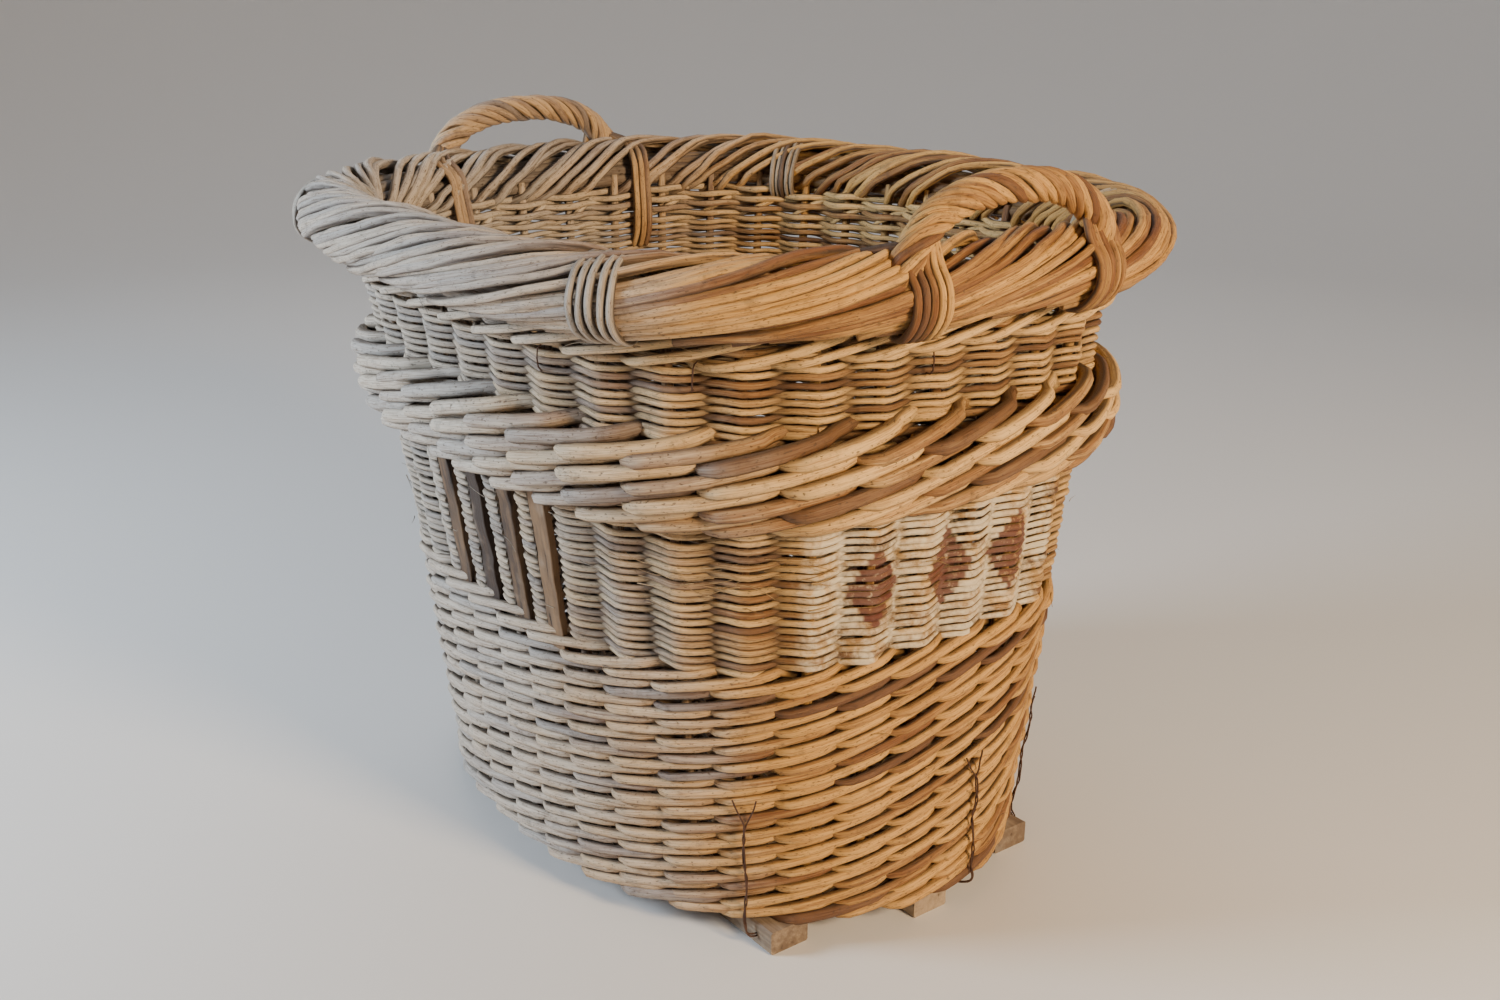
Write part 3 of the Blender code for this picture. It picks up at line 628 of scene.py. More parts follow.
def weave_rows(rods, low, high, pitch, radius, start=0.0, end=None, jitter=0.0005):
    """Plain weave: each row passes in front of every second stake and behind the ones between."""
    span = STAKES if end is None else end - start
    rows = int((high - low) / pitch)
    reach = FOLD_REACH + 0.9 * radius
    count = max(3, int(round(span * FOLD_STEPS)) + 1)
    for row in range(rows):
        stake = np.linspace(start, start + span, count)
        if end is None:
            stake = stake + 0.5 * (rods.random.integers(0, STAKES) * 2 + row)
        swing = np.cos(math.pi * (stake - 0.5 + row))
        bent = np.arcsin(FOLD_SHARPNESS * swing) / math.asin(FOLD_SHARPNESS)
        height = low + (row + 0.5) * pitch + rods.wander(count, jitter) + 0.0008 * np.sin(math.tau * stake)
        proud = WALL_SETBACK + reach * (1.12 * bent - 0.12) + rods.wander(count, 0.0006)
        # Painted shade on the stretches of a row that pass behind a stake
        tuck_shade = smooth_step(0.62 - 0.9 * bent)
        thick = radius * rods.random.uniform(0.90, 1.10) * (0.86 + 0.14 * np.abs(bent))
        rods.add(wall_points(stake, height, proud), thick, tuck_shade, stake=stake)


def filling_rows(rods, weave, low, high):
    """Thicker plain rows that close the wall behind the thick rods."""
    weave_rows(rods, low, high, 1.6 * weave.randing_pitch, 1.35 * weave.randing_rod)


def wale_courses(rods, low, high, courses, radius, front, bulge=0.0, over=0.0045, jitter=0.0012, dive=0.80,
                 point=0.40, slant=1.10):
    """Waling: each strand passes in front of some stakes and behind one, climbing as it goes."""
    strands = front + 1
    course = (high - low) / courses
    rise = course / front
    for number in range(courses):
        shift = rods.random.integers(0, strands)
        for strand in range(strands):
            stake = np.linspace(0.0, STAKES + 0.4, STAKES * STEPS + 3) + strand + shift
            phase = np.mod(stake - 0.5 - strand - shift, strands)
            out = smooth_step(np.minimum(phase, strands - phase) / dive)
            saw = np.interp(phase, [0.0, TURN_SHARE, strands - TURN_SHARE, strands],
                            [0.0, TURN_SHARE - 0.5 * strands, 0.5 * strands - TURN_SHARE, 0.0])
            height = low + (number + 0.5) * course + rise * saw * slant + rods.wander(len(stake), jitter)
            up = np.clip((height - low) / (high - low), 0.0, 1.0)
            swell = bulge * np.sqrt(np.clip(1.0 - (2.0 * up - 1.0) ** 2, 0.0, 1.0)) ** 0.7
            lead = 0.5 - phase / strands
            front_at = STAKE_HALF + radius + swell + 2.0 * over * lead
            back_at = -STAKE_HALF - radius
            proud = WALL_SETBACK + back_at + (front_at - back_at) * out + rods.wander(len(stake), 0.0008)
            # Painted shade where a strand passes behind its stake, and a little on the end of each stroke
            # that runs under the next
            tuck_shade = smooth_step(1.0 - out) * 0.9 + 0.12 * np.clip(-2.0 * lead, 0.0, 1.0)
            tip = 1.0 - smooth_step(3.0 * phase / strands)
            thick = radius * rods.random.uniform(0.88, 1.12) * (1.0 - point * tip)
            thick = thick * (1.0 + 0.08 * rods.wander(len(stake), 1.0))
            rods.add(wall_points(stake, height, proud), np.clip(thick, 0.6 * radius, 1.25 * radius), tuck_shade,
                     stake=stake)


class BASKET_OT_stakes(bpy.types.Operator):
    """Upright stakes that the weave is worked on"""
    bl_idname = "basket.stakes"
    bl_label = "Stakes"

    def execute(self, context):
        weave = context.scene.basket_weave
        rods = Rods(11)
        height = np.linspace(FLOOR + 0.008, CREST - 0.030, 28)
        for stake in range(STAKES):
            place = np.full(len(height), stake + 0.5)
            points = wall_points(place, height, np.full(len(height), WALL_SETBACK))
            # The stakes get some painted shade, as the weave stands in front of them
            rods.add(points, weave.stake_rod, tuck_shade=0.35, stake=place)
        names = [name for name in NODES if name.startswith("stake_pair")]
        make_piece("stakes", rods, willow_material("willow_stakes", "honey", "umber"),
                   names, sides=7)
        return {"FINISHED"}


class BASKET_OT_foot_weave(bpy.types.Operator):
    """Heavy weave of the foot"""
    bl_idname = "basket.foot_weave"
    bl_label = "Foot weave"

    def execute(self, context):
        weave = context.scene.basket_weave
        rods = Rods(21)
        wale_courses(rods, FLOOR + 0.014, SHOULDER, weave.foot_courses, weave.foot_rod, front=2)
        wale_courses(rods, FLOOR + 0.001, FLOOR + 0.018, 1, 1.15 * weave.foot_rod, front=2, over=0.003,
                     slant=1.0)
        make_piece("foot_weave_rods", rods, willow_material("willow_foot", "honey", "umber"),
                   ["foot_weave"])
        return {"FINISHED"}


class BASKET_OT_lower_randing(bpy.types.Operator):
    """Fine weave with its slots, and the painted panel on its +X end"""
    bl_idname = "basket.lower_randing"
    bl_label = "Lower randing"

    def execute(self, context):
        weave = context.scene.basket_weave
        columns = [name for name in NODES if name.startswith("slot_column")]
        rods = Rods(31)
        first = 3 * STAKES // 4 - 1
        last = first + len(columns)
        half = in_stakes(0.5 * SLOT_WIDTH)
        band = (SHOULDER, BELT_FOOT + 0.002, weave.randing_pitch, weave.randing_rod)
        weave_rows(rods, *band, start=last + half, end=first + STAKES - half)
        for bay in range(first, last):
            weave_rows(rods, *band, start=bay + half, end=bay + 1 - half)
        material = willow_material("willow_randing_painted", "straw", "tan", painted=True)
        make_piece("lower_randing_rods", rods, material, ["lower_randing", *columns], sides=6)
        return {"FINISHED"}


class BASKET_OT_belt(bpy.types.Operator):
    """Proud belt of thick rods"""
    bl_idname = "basket.belt"
    bl_label = "Belt"

    def execute(self, context):
        weave = context.scene.basket_weave
        rods = Rods(41)
        wale_courses(rods, BELT_FOOT, BELT_TOP, weave.belt_courses, weave.belt_rod, front=2, bulge=0.022,
                     over=0.009, jitter=0.0018, dive=0.75, point=0.45, slant=1.20)
        filling_rows(rods, weave, BELT_FOOT - 0.002, BELT_TOP + 0.002)
        make_piece("belt_rods", rods, willow_material("willow_belt", "straw", "tan"),
                   ["belt_wale"])
        return {"FINISHED"}


class BASKET_OT_upper_weave(bpy.types.Operator):
    """Fine weave above the belt and the thick rows under the border"""
    bl_idname = "basket.upper_weave"
    bl_label = "Upper weave"

    def execute(self, context):
        weave = context.scene.basket_weave
        material = willow_material("willow_belt", "straw", "tan")
        rods = Rods(51)
        weave_rows(rods, BELT_TOP - 0.002, WALE_FOOT, weave.randing_pitch, weave.randing_rod)
        make_piece("upper_randing_rods", rods, material, ["upper_randing"], sides=6)
        rods = Rods(52)
        wale_courses(rods, WALE_FOOT, BORDER_FOOT, 1, weave.foot_rod * 0.9, front=2, bulge=0.006, over=0.004,
                     slant=1.0)
        filling_rows(rods, weave, WALE_FOOT - 0.002, CREST - 0.040)
        make_piece("top_wale_rods", rods, material, ["top_wale"])
        return {"FINISHED"}


# The border's roll: the middle of its section outside the wall, its half sizes, and the core under its rods
BORDER_MIDDLE = 0.020
BORDER_ACROSS = 0.033
BORDER_UP = 0.028
BORDER_REST = 0.005
BORDER_CORE_DEPTH = -0.0115
BORDER_CORE_ROD = 0.0072
# At the ends a stake stands for less of the width than along the wall
END_CROWDING = 0.86
TIE_INSIDE = [-0.024, -0.022, -0.010]
BOW_SQUARENESS = 2.3
BOW_INSET = 0.010


def border_points(stake, turn, lift):
    """Points round the border's roll: turn in degrees, 0 at the crest, below 0 inside and above 0 outside."""
    angle = np.radians(turn)
    proud = BORDER_MIDDLE + (BORDER_ACROSS + lift) * np.sin(angle)
    height = CREST - BORDER_UP - BORDER_REST + (BORDER_UP + lift) * np.cos(angle)
    return wall_points(stake, height, proud)


def border_outward(stake, turn):
    """Unit vectors out of the border's roll."""
    angle = np.radians(turn)
    level = wall_outward(np.asarray(stake) / STAKES, np.full(len(turn), CREST))
    return level * np.sin(angle)[:, None] + UP * np.cos(angle)[:, None]


class BASKET_OT_border(bpy.types.Operator):
    """Rolled border: at each stake a group of rods rises inside, crosses the crest and runs down outside"""
    bl_idname = "basket.border"
    bl_label = "Border"

    def execute(self, context):
        weave = context.scene.basket_weave
        rods = Rods(61)
        steps = 30
        middle = 0.5 * (weave.border_group - 1)
        part = np.linspace(0.0, 1.0, steps)
        places = [0.0, 0.22, 0.40, 0.60, 0.82, 1.0]
        turn = np.interp(part, places, [-150, -85, -20, 45, 105, 150])
        travel = np.interp(part, places, [0.95, 0.40, -0.65, -2.2, -4.1, -5.5])
        between = 0.26 + 0.05 * smooth_step((part - 0.35) / 0.3)
        arch = 0.0072 * np.sin(math.pi * np.clip(part * 1.15, 0.0, 1.0)) - 0.0035
        crest = np.exp(-((part - 0.42) / 0.16) ** 2)
        # Painted shade on both ends of each rod, where it goes in under the roll
        tuck_shade = 0.75 * smooth_step((0.16 - part) / 0.16) + 0.6 * smooth_step((part - 0.90) / 0.10)
        for stake in range(STAKES):
            wild = rods.random.normal(0.0, 0.12)
            for number in range(weave.border_group):
                place = stake + 0.5 + travel + (number - middle) * between + wild
                place = place + rods.wander(steps, 0.02, 3)
                bend = rods.random.normal(0.0, 0.10)
                place = place + bend * np.sin(math.tau * (0.6 * part + rods.random.uniform()))
                crown = 0.0080 * math.cos((number - middle) * 0.9) * crest
                lift = arch + crown + rods.random.normal(0.0, 0.0015) + rods.wander(steps, 0.0009, 3)
                rods.add(border_points(place, turn, lift), weave.border_rod * rods.random.uniform(0.88, 1.10),
                         tuck_shade, taper=0.22, outward=border_outward(place, turn))
        around = np.linspace(0.0, STAKES, STAKES * STEPS, endpoint=False)
        for level in (-105.0, -70.0, -35.0, 0.0, 35.0, 70.0, 105.0, 140.0):
            turn = np.full(len(around), level)
            deep = BORDER_CORE_DEPTH + 0.0015 * np.sin(0.5 * math.pi * around)
            # The core rods under the border get painted shade
            rods.add(border_points(around, turn, deep), BORDER_CORE_ROD, 0.7, stake=around,
                     outward=border_outward(around, turn), closed=True)
        make_piece("border_rods", rods, willow_material("willow_border", "honey", "umber"),
                   ["border"], lumps=0.12)
        return {"FINISHED"}


class BASKET_OT_handles(bpy.types.Operator):
    """Twisted bow handles and the rods that tie them to the border"""
    bl_idname = "basket.handles"
    bl_label = "Handles"

    def execute(self, context):
        weave = context.scene.basket_weave
        material = willow_material("willow_handle", "honey", "umber", weathering_and_light=0.35)
        for name, end in (("handle_plus_x", 1.0), ("handle_minus_x", -1.0)):
            low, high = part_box(name)
            rope = 0.5 * (high.x - low.x)
            side = 0.5 * (low.x + high.x)
            span = 0.5 * (high.y - low.y) - rope
            top, foot = high.z - rope, low.z + BOW_INSET
            rods = Rods(71 if end > 0 else 72)
            steps = 72
            angle = np.linspace(0.0, math.pi, steps)
            power = 2.0 / BOW_SQUARENESS
            across = -span * np.sign(np.cos(angle)) * np.abs(np.cos(angle)) ** power
            height = foot + (top - foot) * np.abs(np.sin(angle)) ** power
            line = np.stack([np.full(steps, side), across, height], axis=1)
            along = np.gradient(line, axis=0)
            along /= np.linalg.norm(along, axis=1, keepdims=True)
            beside = np.tile([1.0, 0.0, 0.0], (steps, 1))
            inward = np.cross(along, beside)
            reach = np.concatenate([[0.0], np.cumsum(np.linalg.norm(np.diff(line, axis=0), axis=1))])
            reach /= reach[-1]
            # The core inside the twisted rods gets painted shade
            rods.add(line, rope - 2.0 * weave.handle_rod + 0.001, tuck_shade=0.6, outward=inward)
            out = rope - weave.handle_rod * 0.9
            for rod in range(weave.handle_rods):
                twist = math.tau * (rod / weave.handle_rods + weave.handle_turns * reach)
                twist = twist + 0.15 * rods.wander(steps, 1.0, 3)
                ring = beside * np.cos(twist)[:, None] + inward * np.sin(twist)[:, None]
                rods.add(line + ring * out, weave.handle_rod * rods.random.uniform(0.92, 1.08), outward=ring)
            self.tie_feet(rods, weave, side, span, top, foot, end)
            bindings = [node for node in NODES if node.startswith("handle_binding")]
            chosen = [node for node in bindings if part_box(node)[0].x * end > 0]
            make_piece(name + "_rods", rods, material, [name, *chosen])
        return {"FINISHED"}

    def tie_feet(self, rods, weave, side, span, top, foot, end):
        """Rods that leave the bow's underside, cross the border and tuck in below it, outside and inside."""
        outside = (5, 0.0068, 0.026, 0.70, -0.018, [35.0, 70.0, 105.0, 140.0, 165.0],
                   [0.010, 0.0075, 0.007, 0.006, 0.002], [], 22, 0.85)
        inside = (3, 0.0085, 0.008, 0.55, 0.012, [-20.0, -60.0, -95.0], [0.008, 0.008, 0.007],
                  [0.010, 0.035, 0.055], 26, 0.95)
        for sign in (-1.0, 1.0):
            for count, spacing, inset, rise, beyond, turns, lift, below, steps, share in (outside, inside):
                for number in range(count):
                    shift = (number - 0.5 * (count - 1)) * spacing
                    start = np.array([side, sign * (span - inset), foot + rise * (top - foot)])
                    across = end * sign * (span + beyond + sign * shift)
                    stake = (0.0 if end > 0 else 0.5 * STAKES) + in_stakes(across) * END_CROWDING
                    points = [[start + [0.0, shift * 0.3, 0.0]],
                              border_points(np.full(len(turns), stake), np.array(turns), np.array(lift))]
                    if below:
                        depth = BORDER_FOOT - np.array(below)
                        points.append(wall_points(np.full(len(below), stake), depth, TIE_INSIDE))
                    rods.add(smooth_line(np.concatenate(points), steps), weave.handle_rod * share, taper=0.1,
                             outward=[end, 0.0, 0.0])


def smooth_line(points, count):
    """Smooth curve through a few points, evenly read."""
    points = np.asarray(points, float)
    padded = np.concatenate([[2 * points[0] - points[1]], points, [2 * points[-1] - points[-2]]])
    spans = len(points) - 1
    place = np.linspace(0.0, spans, count)
    index = np.minimum(place.astype(int), spans - 1)
    t = (place - index)[:, None]
    a, b, c, d = (padded[index + k] for k in range(4))
    square, cube = 2 * a - 5 * b + 4 * c - d, 3 * b - a - 3 * c + d
    return 0.5 * (2 * b + (c - a) * t + square * t ** 2 + cube * t ** 3)


class BASKET_OT_lashings(bpy.types.Operator):
    """Skeins wound side by side round the border near its corners"""
    bl_idname = "basket.lashings"
    bl_label = "Lashings"

    def execute(self, context):
        weave = context.scene.basket_weave
        material = willow_material("willow_lashing", "driftwood", "peat", weathering_and_light=0.55)
        quarter = STAKES // 4
        bays = [quarter - 4, quarter + 4, 3 * quarter - 4, 3 * quarter + 4]
        for place, bay in enumerate(bays, start=1):
            rods = Rods(80 + place)
            turn = np.linspace(-180.0, 180.0, 40, endpoint=False)
            tight = 0.0082 - 0.0075 * smooth_step((np.abs(turn + 8.0) - 100.0) / 60.0)
            for number in range(weave.lashing_skeins):
                offset = (number - 0.5 * (weave.lashing_skeins - 1)) * 1.9 * weave.lashing_rod
                lift = tight + rods.wander(len(turn), 0.0007, 3) * np.sin(np.radians(turn * 0.5 + 90.0))
                around = bay + in_stakes(offset) + 0.05 * np.sin(np.radians(turn))
                rods.add(border_points(around, turn, lift), weave.lashing_rod * rods.random.uniform(0.9, 1.1),
                         outward=border_outward(around, turn), closed=True)
            make_piece(f"lashing_{place}_rods", rods, material, [f"lashing_{place}"], sides=7)
        return {"FINISHED"}


class BASKET_OT_base(bpy.types.Operator):
    """Woven base on its sticks"""
    bl_idname = "basket.base"
    bl_label = "Base"

    def execute(self, context):
        rods = Rods(91)
        middle = 0.5 * (FLOOR + MAT_TOP)
        half = FLOOR_HALF - MAT_INSET
        sticks = MAT_STICKS
        spacing = 2.0 * half[1] / (sticks + 1)
        power = FLOOR_SQUARENESS
        for stick in range(sticks):
            across = (stick - 0.5 * (sticks - 1)) * spacing
            reach = half[0] * (1.0 - abs(across / half[1]) ** power) ** (1.0 / power)
            line = np.linspace(-reach, reach, 30)
            # The sticks get painted shade, as the rows pass over them
            rods.add(np.stack([line, np.full(30, across), np.full(30, middle)], axis=1), MAT_STICK, 0.5,
                     outward=UP)
        rows = int(2.0 * half[0] / MAT_PITCH)
        for row in range(rows):
            along = -half[0] + (row + 0.5) * MAT_PITCH
            reach = half[1] * (1.0 - abs(along / half[0]) ** power) ** (1.0 / power)
            count = max(4, int(2 * reach / spacing * 6))
            across = np.linspace(-reach, reach, count)
            wave = np.cos(math.pi * (across / spacing + row))
            points = np.stack([along + rods.wander(count, 0.0006), across, middle + 0.0044 * wave], axis=1)
            # Painted shade where a row dips down under a stick
            rods.add(points, MAT_ROD * rods.random.uniform(0.9, 1.1), smooth_step(0.3 - 0.5 * wave),
                     outward=UP)
        names = [name for name in NODES if name.startswith("base_")]
        make_piece("base_rods", rods, willow_material("willow_base", "honey", "umber", shade_and_dirt=0.8),
                   names, sides=6)
        return {"FINISHED"}


def bar(name, places, across, face, widths, depths, tone, material, nodes):
    """Worn wooden bar through a row of places: eight-sided sections with soft corners."""
    turns = [(-1.0, -0.86), (-0.92, -1.0), (0.92, -1.0), (1.0, -0.86), (1.0, 0.86), (0.92, 1.0),
             (-0.92, 1.0), (-1.0, 0.86)]
    shape = bmesh.new()
    rings = [[shape.verts.new(Vector(place + across * u * 0.5 * width + face * v * 0.5 * depth))
              for u, v in turns]
             for place, width, depth in zip(places, widths, depths)]
    for near, far in zip(rings, rings[1:]):
        for i in range(8):
            j = (i + 1) % 8
            shape.faces.new((near[i], near[j], far[j], far[i]))
    shape.faces.new(rings[0])
    shape.faces.new(list(reversed(rings[-1])))
    bmesh.ops.recalc_face_normals(shape, faces=shape.faces)
    mesh = bpy.data.meshes.new(name)
    shape.to_mesh(mesh)
    shape.free()
    layer = mesh.attributes.new("tone", "FLOAT", "POINT")
    layer.data.foreach_set("value", np.full(len(mesh.vertices), tone, np.float32))
    mesh.materials.append(material)
    return keep_piece(name, mesh, nodes)


class BASKET_OT_laths(bpy.types.Operator):
    """Split laths that stand in the slots"""
    bl_idname = "basket.laths"
    bl_label = "Laths"

    def execute(self, context):
        material = wood_material("split_lath", (0.25, 0.145, 0.072), (0.038, 0.021, 0.014), "Z", wear=0.35)
        random = np.random.default_rng(101)
        names = [name for name in NODES if name.startswith("lath")]
        first = 3 * STAKES // 4 - 1
        for number, (name, tone) in enumerate(zip(names, (0.45, 0.05, 0.40, 0.80))):
            stake = np.full(16, first + number - in_stakes(LATH_SHIFT))
            height = np.linspace(SHOULDER - LATH_SEAT, BELT_FOOT + LATH_SEAT, 16)
            sway = random.normal(0.0, 0.0006, 16).cumsum() * 0.5
            places = wall_points(stake + in_stakes(sway), height, random.normal(0.0, 0.0004, 16))
            outward = wall_outward(stake[:1] / STAKES, height[:1])[0]
            across = np.cross(outward, UP)
            waist = 0.001 * np.sin(np.linspace(0, 5, 16) + number)
            widths = LATH_WIDTH + random.normal(0.0, 0.0006, 16) + waist
            depths = LATH_DEPTH + random.normal(0.0, 0.0004, 16)
            bar(name + "_wood", places, across, outward, widths, depths, tone, material, [name])
        return {"FINISHED"}


class BASKET_OT_runners(bpy.types.Operator):
    """Sawn runners under the base"""
    bl_idname = "basket.runners"
    bl_label = "Runners"

    def execute(self, context):
        material = wood_material("sawn_runner", (0.40, 0.30, 0.20), (0.15, 0.10, 0.065), "X", wear=0.6)
        random = np.random.default_rng(102)
        for name in NODES:
            if name.startswith("runner_tie") or not name.startswith("runner"):
                continue
            low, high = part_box(name)
            count = 24
            along = np.linspace(low.x, high.x, count)
            middle = 0.5 * (low.y + high.y)
            depth = high.z - low.z
            depths = depth - np.abs(random.normal(0.0, 0.0005, count))
            places = np.stack([along, np.full(count, middle), 0.5 * depths], axis=1)
            widths = high.y - low.y - np.abs(random.normal(0.0, 0.0010, count))
            bar(name + "_wood", places, np.array([0.0, 1.0, 0.0]), UP, widths, depths, random.uniform(),
                material, [name])
        return {"FINISHED"}


class BASKET_OT_wires(bpy.types.Operator):
    """Rusty wires, two strands twisted together, that tie the runners to the weave"""
    bl_idname = "basket.wires"
    bl_label = "Wires"

    def execute(self, context):
        names = [name for name in NODES if name.startswith("runner_tie")]
        runners = [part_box(name) for name in NODES if name.startswith("runner") and "tie" not in name]
        for number, name in enumerate(names):
            low, high = runners[number // 2]
            end = 1.0 if number % 2 == 0 else -1.0
            rods = Rods(110 + number)
            middle = 0.5 * (low.y + high.y)
            outward = -1.0 if middle < -0.01 else 1.0
            hole = np.array([end * (high.x - TIE_HOLE_INSET), middle, 0.5 * high.z])
            face = 0.5 * (high.y - low.y) + WIRE_GAP
            reach = np.array([0.0, outward * face, 0.0])
            start, near = hole - reach + UP * (0.25 * high.z), hole + reach
            target = near[:2] + [0.0, outward * WIRE_STAND_OFF]
            stakes = np.linspace(0.0, STAKES, 720, endpoint=False)
            plan = FLOOR_OUTLINE.at(stakes / STAKES)
            stake = stakes[np.argmin(np.hypot(*(plan - target).T))]
            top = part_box(name)[1].z
            height = np.linspace(FLOOR - 0.002, top, 9)
            drift = rods.random.normal(0.0, 0.05, 9).cumsum() * 0.5
            climb = wall_points(stake + drift, height, WIRE_PROUD + 0.0012 * np.sin(height * 260.0))
            line = smooth_line(np.concatenate([[start, hole - reach, near], climb]), 110)
            count = len(line)
            turn = np.linspace(0.0, WIRE_TWIST, count) + rods.wander(count, 0.6)
            side = wall_outward(np.full(count, stake / STAKES), line[:, 2])
            cross = np.cross(side, UP)
            tail = np.clip(np.linspace(0.0, 1.0, count) - WIRE_TAIL, 0.0, 1.0)[:, None]
            for strand, spread in ((0.0, -0.05), (math.pi, 0.11)):
                c, s = np.cos(turn + strand)[:, None], np.sin(turn + strand)[:, None]
                swirl = side * c + UP * s
                strand_line = line + swirl * 0.0010 + cross * (0.0009 * s) + tail * cross * spread
                rods.add(strand_line, WIRE_RADIUS, outward=side)
            make_piece(name + "_wire", rods, wire_material(), [name], sides=6, lumps=0.05,
                       wobble=0.0003)
        rods = Rods(119)
        for place, lean in ((STAKES - 4.1, 0.03), (STAKES - 0.8, -0.02), (STAKES - 6.4, 0.05)):
            level = np.array([0.0, 0.0, 0.004, 0.012, 0.020, 0.023, 0.023]) + WALE_FOOT - 0.020
            proud = np.array([-0.004, 0.006, 0.0095, 0.0105, 0.0095, 0.006, -0.004])
            stake = place + lean * np.linspace(-1.0, 1.0, 7)
            rods.add(wall_points(stake, level, proud), STAPLE_RADIUS, stake=stake)
        make_piece("wire_staples", rods, wire_material(), [], sides=6, lumps=0.05,
                   wobble=0.0002)
        return {"FINISHED"}


class BASKET_OT_frays(bpy.types.Operator):
    """Split fibres that stand off the weave, thickest at a worn patch by the corner and at one lashing"""
    bl_idname = "basket.frays"
    bl_label = "Frays"

    def execute(self, context):
        rods = Rods(121)
        corner = STAKES - STAKES // 8
        spots = [(corner + 0.3, SHOULDER + 0.66 * (BELT_FOOT - SHOULDER), 1.3, 0.012, 0.010, 46),
                 (corner - 2.0, BORDER_FOOT - 0.004, 2.5, 0.008, 0.024, 26),
                 (0.0, 0.5 * (SHOULDER + BELT_FOOT), None, 0.060, 0.010, 60)]
        part = np.linspace(0.0, 1.0, 7)
        for middle, level, around, rise, proud, count in spots:
            for _ in range(count):
                if around is None:
                    stake = rods.random.uniform(0, STAKES)
                else:
                    stake = middle + rods.random.normal(0.0, around)
                height = level + rods.random.normal(0.0, rise)
                length = rods.random.uniform(0.010, 0.030)
                lift = rods.random.uniform(0.001, 0.006)
                bend = rods.random.normal(0.0, 0.25)
                stakes = stake + in_stakes(part * length) * rods.random.choice([-1.0, 1.0])
                points = wall_points(stakes, height + length * bend * part ** 2, proud + lift * part ** 2)
                # A little painted shade on each fibre
                rods.add(points, rods.random.uniform(0.0004, 0.0008), 0.1, taper=0.7, stake=stakes)
        make_piece("frays", rods, willow_material("willow_frays", "straw", "honey"), [],
                   sides=4, lumps=0.0, wobble=0.0004)
        return {"FINISHED"}


# Stage ---------------------------------------------------------------------------------------------

CAMERA_AZIMUTH = 53.77
CAMERA_DISTANCE = 1.554
CAMERA_HEIGHT = 0.860
CAMERA_YAW = -1.056
CAMERA_PITCH = 19.166
CAMERA_ROLL = 0.00534
CAMERA_LENS = 37.96


class BASKET_OT_stage(bpy.types.Operator):
    """Floor, backdrop, lights and camera"""
    bl_idname = "basket.stage"
    bl_label = "Stage"

    def execute(self, context):
        scene = context.scene
        studio_cove()

        world = bpy.data.worlds.new("studio")
        world.use_nodes = True
        world.node_tree.nodes["Background"].inputs["Color"].default_value = (0.80, 0.84, 0.90, 1.0)
        world.node_tree.nodes["Background"].inputs["Strength"].default_value = 0.17
        scene.world = world

        turn = math.radians(CAMERA_AZIMUTH)
        right = Vector((math.cos(turn), math.sin(turn), 0.0))
        ahead = Vector((-math.sin(turn), math.cos(turn), 0.0))
        add_light("window", -right * 2.7 - ahead * 0.3 + Vector((0, 0, 1.4)), 0.9, 100.0, (0.74, 0.87, 1.0))
        add_light("lamp", right * 1.85 - ahead * 2.0 + Vector((0, 0, 1.5)), 0.6, 105.0, (1.0, 0.74, 0.45))
        add_light("wash", ahead * 2.4 + Vector((0, 0, 4.4)), 3.0, 50.0, (0.93, 0.96, 1.0))

        camera_data = bpy.data.cameras.new("camera")
        camera_data.sensor_width = 36.0
        camera_data.lens = CAMERA_LENS
        camera = bpy.data.objects.new("camera", camera_data)
        scene.collection.objects.link(camera)
        camera.location = (math.sin(turn) * CAMERA_DISTANCE, -math.cos(turn) * CAMERA_DISTANCE, CAMERA_HEIGHT)
        heading = turn + math.radians(CAMERA_YAW)
        aim = Euler((0.5 * math.pi - math.radians(CAMERA_PITCH), 0.0, heading)).to_matrix()
        camera.rotation_euler = (aim @ Matrix.Rotation(CAMERA_ROLL, 3, "Z")).to_euler()
        scene.camera = camera
        return {"FINISHED"}


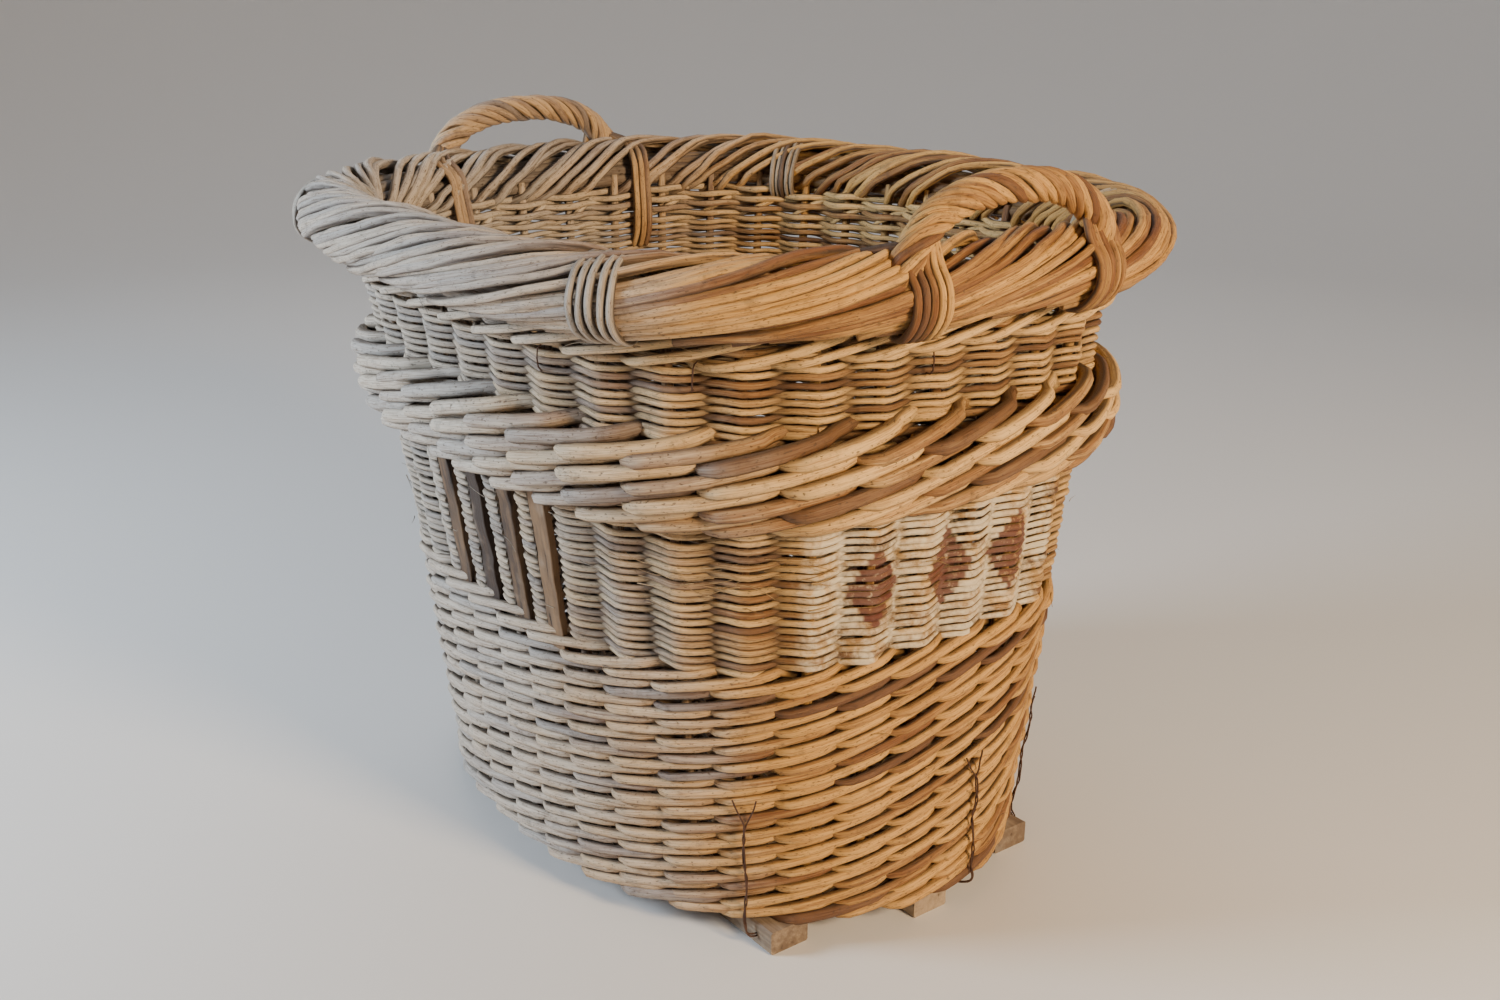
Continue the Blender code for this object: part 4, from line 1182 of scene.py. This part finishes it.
def studio_cove():
    """Plain pale floor that curves up into a round backdrop without an edge."""
    material, _, shader = new_material("pale_studio")
    shader.inputs["Base Color"].default_value = (0.75, 0.73, 0.715, 1.0)
    shader.inputs["Roughness"].default_value = 0.75
    reach, curve, top, sides = 6.5, 3.2, 6.0, 96
    bend = np.linspace(0.0, 0.5 * math.pi, 13)
    rings = [(0.5 * (reach - curve), 0.0)]
    rings += [(reach - curve + curve * math.sin(a), curve - curve * math.cos(a)) for a in bend]
    rings.append((reach, top))
    shape = bmesh.new()
    turns = np.linspace(0.0, math.tau, sides, endpoint=False)
    loops = [[shape.verts.new((radius * math.cos(t), radius * math.sin(t), height)) for t in turns]
             for radius, height in rings]
    shape.faces.new(loops[0])
    for near, far in zip(loops, loops[1:]):
        for i in range(sides):
            j = (i + 1) % sides
            shape.faces.new((near[i], far[i], far[j], near[j]))
    for face in shape.faces:
        face.smooth = True
    mesh = bpy.data.meshes.new("studio_cove")
    shape.to_mesh(mesh)
    shape.free()
    mesh.materials.append(material)
    cove = bpy.data.objects.new("studio_cove", mesh)
    bpy.context.scene.collection.objects.link(cove)
    return cove


def add_light(name, place, size, power, colour):
    data = bpy.data.lights.new(name, "AREA")
    data.size = size
    data.energy = power
    data.color = colour
    light = bpy.data.objects.new(name, data)
    bpy.context.scene.collection.objects.link(light)
    light.location = place
    aim = Vector((0.0, 0.0, 0.35)) - Vector(place)
    light.rotation_euler = aim.to_track_quat("-Z", "Y").to_euler()


OPERATORS = (BASKET_OT_stage, BASKET_OT_stakes, BASKET_OT_base, BASKET_OT_foot_weave, BASKET_OT_lower_randing,
             BASKET_OT_belt, BASKET_OT_upper_weave, BASKET_OT_border, BASKET_OT_handles, BASKET_OT_lashings,
             BASKET_OT_laths, BASKET_OT_runners, BASKET_OT_wires, BASKET_OT_frays)


class BASKET_PT_panel(bpy.types.Panel):
    """Sizes and pieces of the basket"""
    bl_idname = "BASKET_PT_panel"
    bl_label = "Wicker log basket"
    bl_space_type = "VIEW_3D"
    bl_region_type = "UI"
    bl_category = "Basket"

    def draw(self, context):
        for group in (context.scene.basket_weave, context.scene.basket_colours):
            for key in group.bl_rna.properties.keys():
                if key not in {"rna_type", "name"}:
                    self.layout.prop(group, key)
        for operator in OPERATORS:
            self.layout.operator(operator.bl_idname)


CLASSES = (BasketWeave, BasketColours, *OPERATORS, BASKET_PT_panel)


def register():
    for entry in CLASSES:
        bpy.utils.register_class(entry)
    bpy.types.Scene.basket_weave = PointerProperty(type=BasketWeave)
    bpy.types.Scene.basket_colours = PointerProperty(type=BasketColours)


def unregister():
    del bpy.types.Scene.basket_colours
    del bpy.types.Scene.basket_weave
    for entry in reversed(CLASSES):
        bpy.utils.unregister_class(entry)


def main():
    register()
    for operator in OPERATORS:
        group, name = operator.bl_idname.split(".")
        getattr(getattr(bpy.ops, group), name)()


if __name__ == "__main__":
    main()
